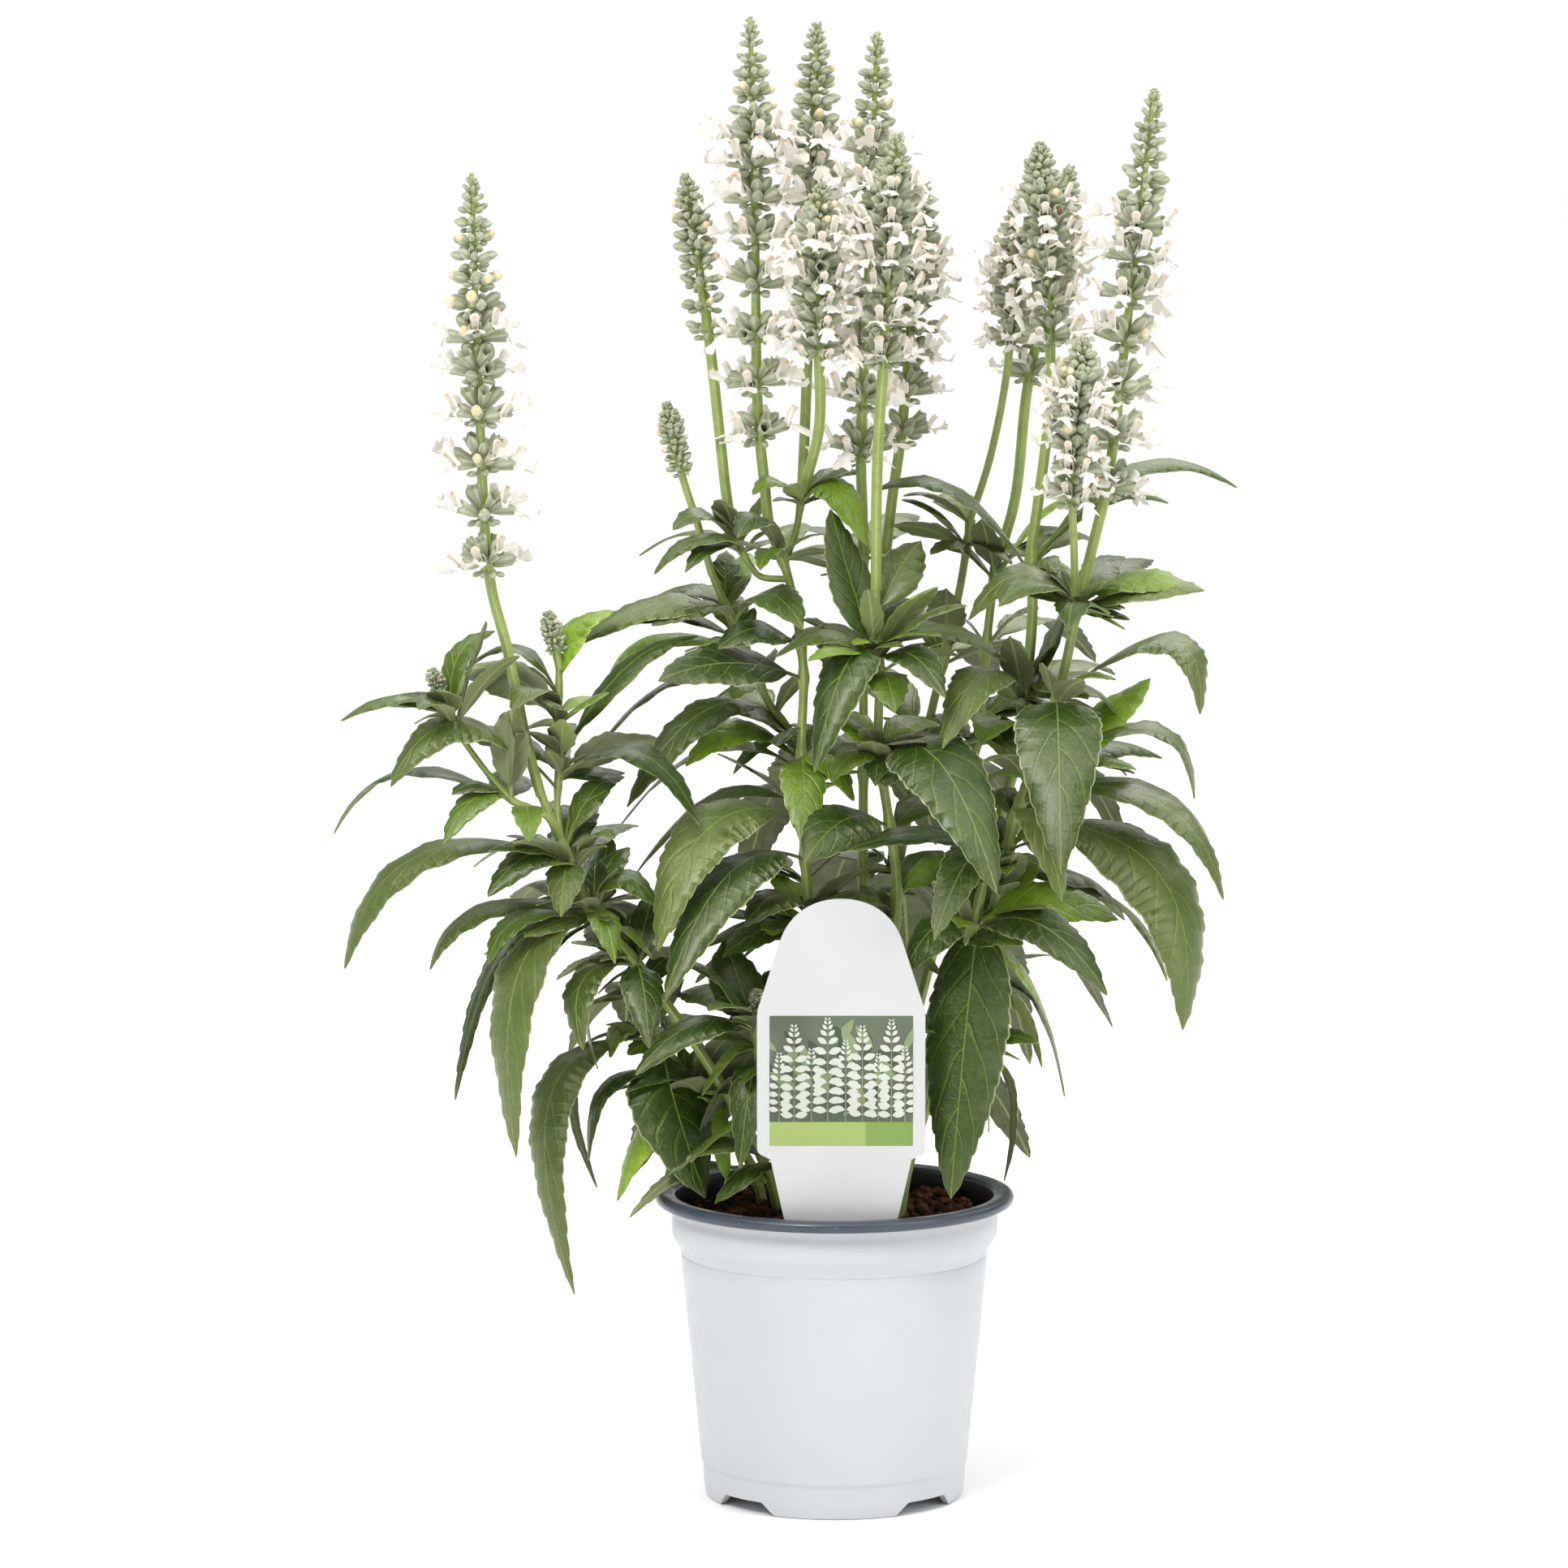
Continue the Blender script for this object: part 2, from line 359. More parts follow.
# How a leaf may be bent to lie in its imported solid: change of depth, of height and of roll at its tip
BENDS = [
    [0, 0, 0], [-5, 0, 0], [5, 0, 0], [0, 3, 4], [0, -3, -4], [-9, 2, 4], [9, -2, -4], [-9, -4, 8],
    [9, 4, 8], [-14, 0, 0], [14, 0, 0], [0, 6, 10], [0, -6, -10], [-20, 3, 6], [20, 3, -6], [-14, -6, 12],
    [14, -6, -12], [-26, 0, 8], [26, 0, 8],
]

# Leaves that fill the plant's inside, in the same columns as the leaves above
INNER_LEAVES = [
    [1, -70, 186, -57.7, -20, 171.7, 4, 0, 11, 0], [1, -67, 178, -49, 12, 166, 6, 0, 12, 0],
    [1, -79, 192, -60, 26, 174, 8, 0, 13, 0], [1, -84, 205, -62, 20, 214, 4, 0, 10, 8],
    [12, -60, 151, -48, -6, 165, 3, 0, 11, 10], [12, -56, 146, -40, 22, 150, 6, 0, 13, 0],
    [12, -50, 138, -38, 30, 122, 6, 0, 14, 0], [12, -42, 128, -54, 20, 112, 7, 0, 12, 0],
    [12, -34, 115, -54, -22, 101, 7, 0, 13, 6], [10, -25, 153, -44, 2, 131, 6, 0, 15, 0],
    [10, -24, 144, -36, 18, 118, 6, 0, 14, 0], [10, -23, 124, -40, 16, 134, 3, 0, 12, 10],
    [10, -25, 153, -12, 4, 170, 4, 0, 12, 8], [3, -8, 182, -29, 8, 172, 4, 0, 14, 6],
    [3, -9, 187, -28, -18, 186, 4, 0, 10, 14], [3, -9, 188, -20, 8, 198, 2, 0, 10, 10],
    [3, -8, 184, -42, -4, 175, 6, 0, 15, 4], [3, -8, 180, -44, 16, 164, 9, 0, 16, 0],
    [3, -8, 182, -27, -16, 176, 4, 0, 9, 6], [3, -8, 184, -24, -20, 191, 1, 0, 8, 10],
    [10, -25, 156, -50, 6, 160, 6, 0, 17, 10], [10, -24, 140, -44, -8, 112, 8, 0, 14, 0],
    [12, -46, 134, -60, 0, 126, 6, 0, 12, 0], [10, -23, 108, -38, -28, 93, 4, 0, 12, 0],
    [12, -60, 152, -71, -10, 140, 6, -3, 11, 0], [3, -8, 186, 8, -20, 192, 3, 0, 10, 10],
    [3, -6, 158, -22, 26, 150, 6, 0, 16, 0], [3, -10, 240, 6, -20, 222, 6, 0, 12, 0],
    [4, 19.6, 194, 34, 8, 206, 4, 0, 13, 8], [4, 18, 186, 6, -26, 176, 5, 0, 12, 0],
    [4, 16, 170, 34, -16, 166, 6, 0, 13, 8], [4, 17, 216, 36, 6, 222, 5, 0, 12, 10],
    [4, 15, 232, -6, 12, 238, 5, 0, 12, 8], [5, 9, 200, 28, 26, 190, 6, 0, 15, 0],
    [5, 9, 236, 30, 24, 234, 6, 0, 15, 4], [5, 9, 170, -8, 30, 176, 6, 0, 14, 0],
    [9, 25, 226, 42, 44, 212, 7, 0, 15, 0], [9, 20, 200, 38, 48, 178, 7, 0, 16, 0],
    [6, 50, 210, 36, 22, 222, 5, 0, 14, 8], [6, 44, 190, 28, 20, 196, 5, 0, 14, 6],
    [6, 57, 236, 42, 22, 252, 4, 0, 13, 8], [11, 40, 172, 56, 10, 158, 6, 0, 14, 8],
    [11, 34, 152, 20, 4, 150, 5, 0, 13, 0], [11, 32, 146, 52, -6, 132, 8, 0, 13, 4],
    [7, 50, 190, 66, -10, 204, 5, 0, 13, 12], [7, 57, 218, 76, 10, 222, 5, 0, 13, 12],
    [7, 62, 231, 46, -2, 226, 5, 0, 13, 8], [7, 70, 256, 92, -8, 246, 7, 0, 13, 12],
    [8, 36, 194, 54, 44, 182, 7, 0, 16, 0], [8, 42, 226, 60, 44, 214, 7, 0, 15, 0],
    [8, 44, 240, 28, 44, 246, 6, 0, 14, 0], [2, -9, 196, -28, 14, 200, 5, 0, 13, 8],
    [2, -14, 244, -34, 12, 250, 4, 0, 12, 8],
]

# Leaves that catch the light from behind, by the x and z of their tip
BRIGHT_TIPS = [
    (99.3, 260.7), (89.6, 184), (-71, 264.6), (-47, 233), (-34, 100), (-69, 94), (68.3, 147), (49, 114),
    (75, 312), (80, 304), (-69, 282), (26, 312), (-2, 262), (65.8, 137), (-27, 176), (-24, 191), (-28, 186),
    (-20, 198), (-60, 126), (-38, 122), (46, 240), (0, 249.5), (33, 246),
]
# Leaves whose upper face is grey with down
GREY_TIPS = [
    (-55.9, 172), (-101, 114.2), (115, 249.4), (122.8, 190.6), (113.4, 225.6), (34, 238.5), (-140, 229.5),
    (-155, 171.5), (-128, 171.2), (-85.5, 265.6), (42, 279.2), (-18.7, 267.6), (54, 266), (-82.7, 60.8),
    (-79.6, 145.5), (116, 282.5), (-119, 245), (-56.7, 296.7), (105.3, 164.7), (-86.5, 185),
]
# Leaves that show their pale underside to the eye
PALE_TIPS = [
    (-118, 263), (-50, 240), (105.3, 164.7), (80, 304), (-32, 230.6), (-65, 90.8), (-120.3, 129.5),
]
# Leaves of the deepest green
DEEP_TIPS = [
    (4, 206), (-9.5, 202.4), (-36.6, 268), (-30.7, 309), (51.2, 192.5), (91.7, 189), (22, 167),
    (71.5, 198.5), (31.4, 175.4), (-6.5, 231), (-42, 175), (-44, 164), (-58.7, 143), (-44, 112),
    (-30, 104.5), (-41, 88.8), (-53.7, 161.2), (37, 91.7), (-42.6, 214.3),
]


def pot_axis():
    low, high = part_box("pot")
    return np.array([(low.x + high.x) / 2, (low.y + high.y) / 2, 0.0])


AXIS = pot_axis()


def unit(vector):
    return vector / max(1e-9, np.linalg.norm(vector))


def place(point):
    """A plant point as x, y and z in millimetres from the pot's axis."""
    x, depth, z = point
    reach = (depth - EYE[1]) / -EYE[1]
    return np.array([EYE[0] + (x - EYE[0]) * reach, depth, EYE[2] + (z - EYE[2]) * reach])


def metres(points):
    return np.asarray(points) * MM + AXIS


def smoothstep(low, high, value):
    t = np.clip((value - low) / (high - low), 0, 1)
    return t * t * (3 - 2 * t)


def add_object(name, data):
    made = bpy.data.objects.new(name, data)
    bpy.context.scene.collection.objects.link(made)
    return made


def mesh_of(name, verts, faces):
    mesh = bpy.data.meshes.new(name)
    mesh.from_pydata(verts, [], faces)
    return mesh


def aim(thing, at, target):
    thing.location = at
    thing.rotation_euler = Vector(np.subtract(target, at)).to_track_quat("-Z", "Y").to_euler()


# Materials


class Paint:
    """A node material, built from its sockets up."""

    def __init__(self, name):
        self.material = bpy.data.materials.new(name)
        self.material.use_nodes = True
        self.tree = self.material.node_tree
        self.shader = self.tree.nodes["Principled BSDF"]

    def feed(self, socket, value):
        if isinstance(value, bpy.types.NodeSocket):
            self.tree.links.new(value, socket)
        else:
            socket.default_value = value

    def node(self, kind, inputs=(), **settings):
        made = self.tree.nodes.new(kind)
        for name, value in settings.items():
            setattr(made, name, value)
        for key, value in dict(inputs).items():
            self.feed(made.inputs[key], value)
        return made

    def math(self, operation, *values):
        made = self.node("ShaderNodeMath", enumerate(values), operation=operation)
        return made.outputs[0]

    def span(self, value, low, high, new_low=0.0, new_high=1.0):
        """The value from low to high carried smoothly to a new span."""
        keys = {"Value": value, "From Min": low, "From Max": high, "To Min": new_low, "To Max": new_high}
        return self.node("ShaderNodeMapRange", keys, interpolation_type="SMOOTHSTEP").outputs["Result"]

    def mix(self, factor, one, other):
        keys = {"Factor": factor, "A": one, "B": other}
        return self.node("ShaderNodeMix", keys, data_type="RGBA").outputs["Result"]

    def over(self, base, mask, strength, colour):
        """A colour laid over another where the mask is high."""
        return self.mix(self.math("MULTIPLY", mask, strength), base, colour)

    def noise(self, scale, detail=3.0, roughness=0.5):
        place_at = self.node("ShaderNodeTexCoord").outputs["Object"]
        keys = {"Vector": place_at, "Scale": scale, "Detail": detail, "Roughness": roughness}
        return self.node("ShaderNodeTexNoise", keys).outputs["Fac"]

    def cells(self, scale):
        keys = {"Vector": self.node("ShaderNodeTexCoord").outputs["Object"], "Scale": scale}
        return self.node("ShaderNodeTexVoronoi", keys, feature="DISTANCE_TO_EDGE").outputs["Distance"]

    def attribute(self, name):
        return self.node("ShaderNodeAttribute", attribute_name=name).outputs["Fac"]

    def bump(self, height, strength, distance):
        keys = {"Height": height, "Strength": strength, "Distance": distance}
        return self.node("ShaderNodeBump", keys).outputs["Normal"]

    def set(self, **values):
        for name, value in values.items():
            self.feed(self.shader.inputs[name.replace("_", " ")], value)
        return self.material


def tone(red, green, blue):
    """A screen colour from 0 to 255 as the linear colour a shader takes."""
    shares = [c / 255 for c in (red, green, blue)]
    return tuple(s / 12.92 if s <= 0.04045 else ((s + 0.055) / 1.055) ** 2.4 for s in shares) + (1.0,)


def leaf_vein(paint, along, across):
    """How close a point is to a side vein, from 0 to 1, and its distance as a share of their spacing.

    The veins leave the midrib by turns and arch to the tip."""
    spread = paint.math("POWER", paint.math("ABSOLUTE", across), 1.25)
    right = paint.math("GREATER_THAN", across, 0.0)
    bend = paint.math("MULTIPLY", spread, 1.7)
    phase = paint.math("SUBTRACT", paint.math("MULTIPLY", along, VEIN_PAIRS), bend)
    phase = paint.math("ADD", phase, paint.math("MULTIPLY", right, 0.45))
    phase = paint.math("ADD", phase, paint.math("MULTIPLY", paint.noise(60.0, 1.0), 0.7))
    gap = paint.math("ABSOLUTE", paint.math("SUBTRACT", paint.math("FRACT", phase), 0.5))
    line = paint.span(gap, 0.0, 0.03, 1.0, 0.0)
    inner = paint.span(spread, 0.7, 0.98, 1.0, 0.0)
    return paint.math("MULTIPLY", line, inner), gap


def leaf_top():
    paint = Paint("leaf_top")
    along, across, tint = (paint.attribute(name) for name in ("along", "across", "tint"))
    sideways = paint.math("ABSOLUTE", paint.attribute("sideways"))
    vein, gap = leaf_vein(paint, along, across)
    green = paint.mix(paint.span(tint, 0.0, 1.0), tone(18, 48, 0), tone(154, 194, 44))
    green = paint.mix(paint.span(tint, -1.0, 0.0, 0.8, 0.0), green, tone(126, 140, 76))
    mottle = paint.span(paint.noise(45.0, 4.0, 0.6), 0.35, 0.68)
    green = paint.over(green, mottle, 0.4, tone(44, 78, 10))
    grain = paint.span(paint.noise(420.0, 4.0, 0.65), 0.4, 0.65)
    green = paint.over(green, grain, 0.3, tone(66, 94, 18))
    green = paint.over(green, paint.span(along, 0.9, 1.0), 0.25, tone(96, 100, 46))
    green = paint.over(green, vein, 0.6, tone(132, 158, 56))
    rib = paint.span(sideways, 0.1, 0.36, 1.0, 0.0)
    green = paint.over(green, rib, paint.span(along, 0.2, 1.0, 0.85, 0.4), tone(136, 154, 68))
    margin = paint.span(paint.math("ABSOLUTE", across), 0.95, 0.99)
    green = paint.over(green, margin, 0.75, tone(168, 178, 132))
    pillow = paint.math("MULTIPLY", paint.span(gap, 0.0, 0.16), 0.7)
    pucker = paint.math("MULTIPLY", paint.noise(560.0, 4.0, 0.7), 1.7)
    pores = paint.math("MULTIPLY", paint.noise(1900.0, 2.0, 0.6), 0.5)
    height = paint.math("ADD", paint.math("ADD", pillow, pucker), pores)
    height = paint.math("SUBTRACT", height, paint.math("MULTIPLY", rib, 0.8))
    return paint.set(
        Base_Color=green, Roughness=paint.span(paint.noise(160.0, 4.0), 0.3, 0.7, 0.24, 0.4),
        Normal=paint.bump(height, 0.5, 0.0005), Specular_IOR_Level=0.75, Specular_Tint=tone(246, 250, 180),
        Coat_Weight=0.42, Coat_Roughness=0.3, Coat_IOR=1.6,
        Sheen_Weight=0.3, Sheen_Roughness=0.22, Sheen_Tint=tone(238, 240, 160))


def leaf_under():
    paint = Paint("leaf_underside")
    along, across, tint = (paint.attribute(name) for name in ("along", "across", "tint"))
    sideways = paint.math("ABSOLUTE", paint.attribute("sideways"))
    vein, gap = leaf_vein(paint, along, across)
    green = paint.mix(paint.span(tint, 0.0, 1.0), tone(122, 132, 86), tone(152, 174, 84))
    green = paint.mix(paint.span(tint, -1.0, 0.0, 0.6, 0.0), green, tone(58, 66, 38))
    green = paint.over(green, paint.span(paint.noise(120.0, 4.0), 0.35, 0.7), 0.35, tone(150, 152, 124))
    net = paint.span(paint.cells(760.0), 0.02, 0.14, 1.0, 0.0)
    green = paint.over(green, net, 0.14, tone(164, 168, 132))
    green = paint.over(green, vein, 0.6, tone(158, 168, 118))
    rib = paint.span(sideways, 0.25, 0.7, 1.0, 0.0)
    green = paint.over(green, rib, 0.9, tone(158, 172, 104))
    height = paint.math("ADD", vein, paint.math("ADD", rib, paint.math("MULTIPLY", gap, -0.8)))
    return paint.set(
        Base_Color=green, Roughness=0.7, Normal=paint.bump(height, 0.6, 0.0005), Specular_IOR_Level=0.35,
        Sheen_Weight=0.15, Sheen_Roughness=0.5, Sheen_Tint=tone(225, 228, 205))


def stem_paint():
    paint = Paint("stem")
    green = paint.mix(paint.attribute("tint"), tone(134, 156, 66), tone(166, 182, 102))
    ridge = paint.span(paint.attribute("across"), 0.2, 1.0, 0.0, 0.55)
    green = paint.mix(ridge, green, tone(190, 200, 148))
    green = paint.over(green, paint.span(paint.noise(320.0, 4.0, 0.6), 0.4, 0.7), 0.35, tone(104, 130, 58))
    return paint.set(
        Base_Color=green, Roughness=0.5, Normal=paint.bump(paint.noise(3000.0, 2.0), 0.25, 0.0003),
        Specular_IOR_Level=0.4, Sheen_Weight=0.3, Sheen_Roughness=0.4, Sheen_Tint=tone(230, 238, 210),
        Subsurface_Weight=0.2, Subsurface_Radius=(0.8, 1.0, 0.3), Subsurface_Scale=0.001)


def calyx_paint():
    paint = Paint("calyx")
    rib, along, tint = (paint.attribute(name) for name in ("across", "along", "tint"))
    green = paint.mix(tint, tone(158, 163, 126), tone(192, 195, 168))
    green = paint.mix(paint.span(rib, -0.9, 0.5, 0.5, 0.0), green, tone(116, 126, 86))
    green = paint.mix(paint.span(rib, 0.45, 1.0, 0.0, 0.5), green, tone(206, 210, 196))
    green = paint.mix(paint.span(along, 0.0, 0.45, 0.8, 0.0), green, tone(150, 162, 90))
    green = paint.mix(paint.span(tint, 1.0, 2.0, 0.0, 0.8), green, tone(188, 186, 122))
    wool = paint.span(paint.noise(4200.0, 3.0, 0.7), 0.42, 0.66)
    green = paint.over(green, wool, 0.3, tone(220, 223, 212))
    height = paint.math("ADD", paint.noise(3800.0, 3.0, 0.7), paint.math("MULTIPLY", rib, 0.2))
    return paint.set(
        Base_Color=green, Roughness=0.85, Normal=paint.bump(height, 0.5, 0.0003), Specular_IOR_Level=0.15,
        Sheen_Weight=0.5, Sheen_Roughness=0.4, Sheen_Tint=tone(240, 243, 234),
        Subsurface_Weight=0.15, Subsurface_Radius=(0.7, 0.9, 0.4), Subsurface_Scale=0.001)


def petal_paint():
    paint = Paint("petal")
    flush, along, across = (paint.attribute(name) for name in ("tint", "along", "across"))
    white = paint.mix(paint.span(along, 0.0, 0.3, 0.6, 0.0), tone(228, 225, 215), tone(210, 212, 180))
    vein = paint.math("ABSOLUTE", paint.math("SINE", paint.math("MULTIPLY", across, 14.0)))
    white = paint.mix(paint.span(vein, 0.0, 0.35, 0.16, 0.0), white, tone(188, 186, 172))
    speck = paint.span(paint.noise(900.0, 2.0), 0.45, 0.62)
    white = paint.over(white, flush, paint.math("ADD", paint.math("MULTIPLY", speck, 0.5), 0.5),
                       tone(240, 176, 118))
    return paint.set(
        Base_Color=white, Roughness=0.6, Normal=paint.bump(paint.noise(700.0, 4.0, 0.6), 0.4, 0.0004),
        Specular_IOR_Level=0.3, Sheen_Weight=0.15, Sheen_Roughness=0.5,
        Subsurface_Weight=0.5, Subsurface_Radius=(1.0, 0.97, 0.9), Subsurface_Scale=0.002,
        Emission_Color=tone(250, 246, 234), Emission_Strength=0.14)


def bud_tip_paint():
    paint = Paint("bud_tip")
    cloud = paint.span(paint.noise(800.0, 2.0), 0.4, 0.7)
    return paint.set(
        Base_Color=paint.mix(cloud, tone(222, 204, 150), tone(232, 226, 200)), Roughness=0.7,
        Normal=paint.bump(paint.noise(2600.0, 2.0), 0.3, 0.0003), Sheen_Weight=0.4, Sheen_Roughness=0.5)


def anther_paint():
    paint = Paint("anther")
    cloud = paint.span(paint.noise(1500.0, 2.0), 0.4, 0.6)
    return paint.set(
        Base_Color=paint.mix(cloud, tone(216, 140, 72), tone(242, 206, 156)), Roughness=0.6,
        Normal=paint.bump(paint.noise(2600.0, 2.0), 0.3, 0.0002))


def withered_paint():
    paint = Paint("withered")
    brown = paint.mix(paint.noise(900.0, 3.0), tone(96, 52, 28), tone(176, 120, 70))
    crumple = paint.bump(paint.noise(1500.0, 3.0), 0.5, 0.0004)
    return paint.set(Base_Color=brown, Roughness=0.8, Normal=crumple)


def white_plastic():
    paint = Paint("white_plastic")
    white = paint.mix(paint.span(paint.noise(18.0, 3.0), 0.3, 0.7), tone(196, 200, 203), tone(202, 205, 207))
    scuff = paint.span(paint.noise(420.0, 5.0, 0.7), 0.66, 0.76)
    white = paint.over(white, scuff, 0.25, tone(196, 200, 202))
    grain = paint.math("ADD", paint.noise(1500.0, 2.0), paint.math("MULTIPLY", paint.noise(60.0, 2.0), 2.0))
    return paint.set(
        Base_Color=white, Roughness=paint.span(paint.noise(150.0, 4.0), 0.3, 0.7, 0.3, 0.44),
        Normal=paint.bump(grain, 0.12, 0.0004), Specular_IOR_Level=0.5,
        Subsurface_Weight=0.12, Subsurface_Radius=(1.0, 1.0, 1.0), Subsurface_Scale=0.002)


def lip_plastic():
    paint = Paint("dark_plastic")
    cloud = paint.noise(90.0, 3.0)
    slate = paint.mix(cloud, tone(54, 61, 71), tone(72, 80, 91))
    dust = paint.span(paint.noise(700.0, 5.0, 0.7), 0.6, 0.72)
    return paint.set(
        Base_Color=paint.over(slate, dust, 0.25, tone(150, 152, 152)),
        Roughness=paint.span(cloud, 0.3, 0.7, 0.22, 0.36),
        Normal=paint.bump(paint.noise(900.0, 3.0), 0.08, 0.0004))


def inner_plastic():
    paint = Paint("inner_plastic")
    black = paint.mix(paint.noise(120.0, 3.0), tone(24, 25, 28), tone(44, 44, 46))
    soil = paint.span(paint.noise(520.0, 5.0, 0.7), 0.52, 0.62)
    return paint.set(
        Base_Color=paint.over(black, soil, 0.6, tone(64, 42, 30)), Roughness=0.42,
        Normal=paint.bump(soil, 0.3, 0.0005))


def peat_paint():
    paint = Paint("peat")
    brown = paint.mix(paint.attribute("tint"), tone(34, 21, 15), tone(150, 102, 72))
    crumb = paint.noise(1100.0, 5.0, 0.7)
    brown = paint.mix(paint.span(crumb, 0.35, 0.7, 0.0, 0.6), brown, tone(84, 56, 38))
    fibre = paint.span(paint.noise(2400.0, 3.0, 0.7), 0.6, 0.72)
    return paint.set(
        Base_Color=paint.over(brown, fibre, 0.5, tone(142, 104, 76)), Roughness=0.95,
        Normal=paint.bump(crumb, 0.9, 0.0012), Specular_IOR_Level=0.2)


def card_paint(name, one, other):
    paint = Paint(name)
    cloud = paint.span(paint.noise(40.0, 2.0), 0.3, 0.7)
    return paint.set(
        Base_Color=paint.mix(cloud, tone(*one), tone(*other)),
        Roughness=paint.span(paint.noise(200.0, 3.0), 0.3, 0.7, 0.28, 0.4),
        Normal=paint.bump(paint.noise(1800.0, 2.0), 0.06, 0.0003))


# Meshes


class Piece:
    """One mesh made of grids of points, each with its material slot and four values for its material."""

    def __init__(self, name, materials, record_slot):
        self.name = name
        self.materials = materials
        self.record_slot = record_slot
        self.count = 0
        self.grids = []

    def sheet(self, points, slot, tint=0.5, along=0.0, across=0.0, sideways=0.0, ring=False, flip=False):
        """Adds rows by columns of points in millimetres. A ring joins its last column to its first."""
        points = np.asarray(points)
        rows, columns = points.shape[:2]
        index = np.arange(rows * columns).reshape(rows, columns) + self.count
        if ring:
            index = np.concatenate([index, index[:, :1]], axis=1)
        corners = [index[:-1, :-1], index[:-1, 1:], index[1:, 1:], index[1:, :-1]]
        quads = np.stack(corners[::-1] if flip else corners, axis=-1).reshape(-1, 4)
        values = [np.broadcast_to(v, (rows, columns)).reshape(-1) for v in (tint, along, across, sideways)]
        slots = np.full(len(quads), slot)
        self.grids.append((points.reshape(-1, 3), quads, slots, np.stack(values, axis=1)))
        self.count += rows * columns

    def build(self, *replaced, sharp=None):
        points, quads, slots, values = (np.concatenate(part) for part in zip(*self.grids))
        mesh = bpy.data.meshes.new(self.name)
        mesh.vertices.add(len(points))
        mesh.vertices.foreach_set("co", metres(points).astype(np.float32).ravel())
        mesh.loops.add(quads.size)
        mesh.loops.foreach_set("vertex_index", quads.astype(np.int32).ravel())
        mesh.polygons.add(len(quads))
        mesh.polygons.foreach_set("loop_start", np.arange(0, quads.size, 4, dtype=np.int32))
        mesh.polygons.foreach_set("material_index", slots.astype(np.int32))
        for name, column in zip(("tint", "along", "across", "sideways"), values.T):
            mesh.attributes.new(name, "FLOAT", "POINT").data.foreach_set("value", column.astype(np.float32))
        for material in self.materials:
            mesh.materials.append(material)
        mesh.update(calc_edges=True)
        mesh.validate()
        mesh.shade_smooth()
        if sharp is not None:
            mesh.set_sharp_from_angle(angle=math.radians(sharp))
        dress(add_object(self.name, mesh), self.record_slot, *replaced)


def dress(piece, record_slot, *replaced):
    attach(piece, "root")
    if replaced:
        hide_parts(*replaced)


def across_at(tangent):
    """Two directions across a path, turned as little as possible along it."""
    sideways = np.array([1.0, 0.0, 0.0]) if abs(tangent[2]) > 0.5 else UP
    u = unit(sideways - tangent * sideways.dot(tangent))
    return u, np.cross(tangent, u)


def tangents_of(points):
    steps = np.gradient(points, axis=0)
    return steps / np.maximum(1e-9, np.linalg.norm(steps, axis=1, keepdims=True))


def turned(vector, axle, angle):
    """The vector turned about a unit axle by an angle in radians."""
    return (vector * math.cos(angle) + np.cross(axle, vector) * math.sin(angle)
            + axle * axle.dot(vector) * (1 - math.cos(angle)))


def curve_through(points, step):
    """A smooth centripetal curve through the points, sampled about every step millimetres."""
    points = np.asarray(points, float)
    ends = np.concatenate([[2 * points[0] - points[1]], points, [2 * points[-1] - points[-2]]])
    line = []
    for i in range(len(points) - 1):
        p0, p1, p2, p3 = ends[i:i + 4]
        a, b, c = (max(1e-4, np.linalg.norm(q - p) ** 0.5) for p, q in ((p0, p1), (p1, p2), (p2, p3)))
        m1 = ((p1 - p0) / a - (p2 - p0) / (a + b) + (p2 - p1) / b) * b
        m2 = ((p2 - p1) / b - (p3 - p1) / (b + c) + (p3 - p2) / c) * b
        for t in np.arange(0, 1, 1 / 24):
            line.append((2 * t**3 - 3 * t**2 + 1) * p1 + (t**3 - 2 * t**2 + t) * m1
                        + (3 * t**2 - 2 * t**3) * p2 + (t**3 - t**2) * m2)
    line = np.array(line + [points[-1]])
    lengths = np.concatenate([[0], np.cumsum(np.linalg.norm(np.diff(line, axis=0), axis=1))])
    wanted = np.linspace(0, lengths[-1], max(4, int(lengths[-1] / step) + 1))
    return np.stack([np.interp(wanted, lengths, line[:, k]) for k in range(3)], axis=1)


def ridged_tube(piece, slot, line, radii, columns, tint, ridge):
    """A four-angled stem along a line, with a radius at each of the line's points."""
    turns = np.arange(columns) * 2 * math.pi / columns
    ridges = np.cos(4 * turns)
    rows = []
    for centre, tangent, thick in zip(line, tangents_of(line), radii):
        u, v = across_at(tangent)
        radius = thick * (1 + ridge * ridges)
        rows.append(centre + radius[:, None] * (np.cos(turns)[:, None] * u + np.sin(turns)[:, None] * v))
    along = np.linspace(0, 1, len(line))[:, None]
    piece.sheet(rows, slot, tint, along, ridges[None, :], ring=True)


# Leaves


def nearest_on_stem(paths, x, z):
    """The point of a stem that shows nearest to x and z, and the stem's direction there."""
    wanted = place((x, 0, z))
    best = (math.inf, None, None)
    for _, _, points in paths:
        for start, end in zip(points, points[1:]):
            for step in range(9):
                spot = np.array(start) + (np.array(end) - np.array(start)) * step / 8
                gap = math.hypot(spot[0] - wanted[0], spot[2] - wanted[2])
                if gap < best[0]:
                    best = (gap, place(spot), unit(place(end) - place(start)))
    return best[1:]


def leaf_base(paths, row, order):
    """Where a leaf's stalk starts, and the stem's direction there. Its order sets it apart from others."""
    point, along = nearest_on_stem(paths, row[1], row[2])
    outward = place(row[3:6]) - point
    outward = unit(outward - along * outward.dot(along))
    return point + 0.5 * outward + along * 0.9 * ((order * 7) % 5 - 5.5), along


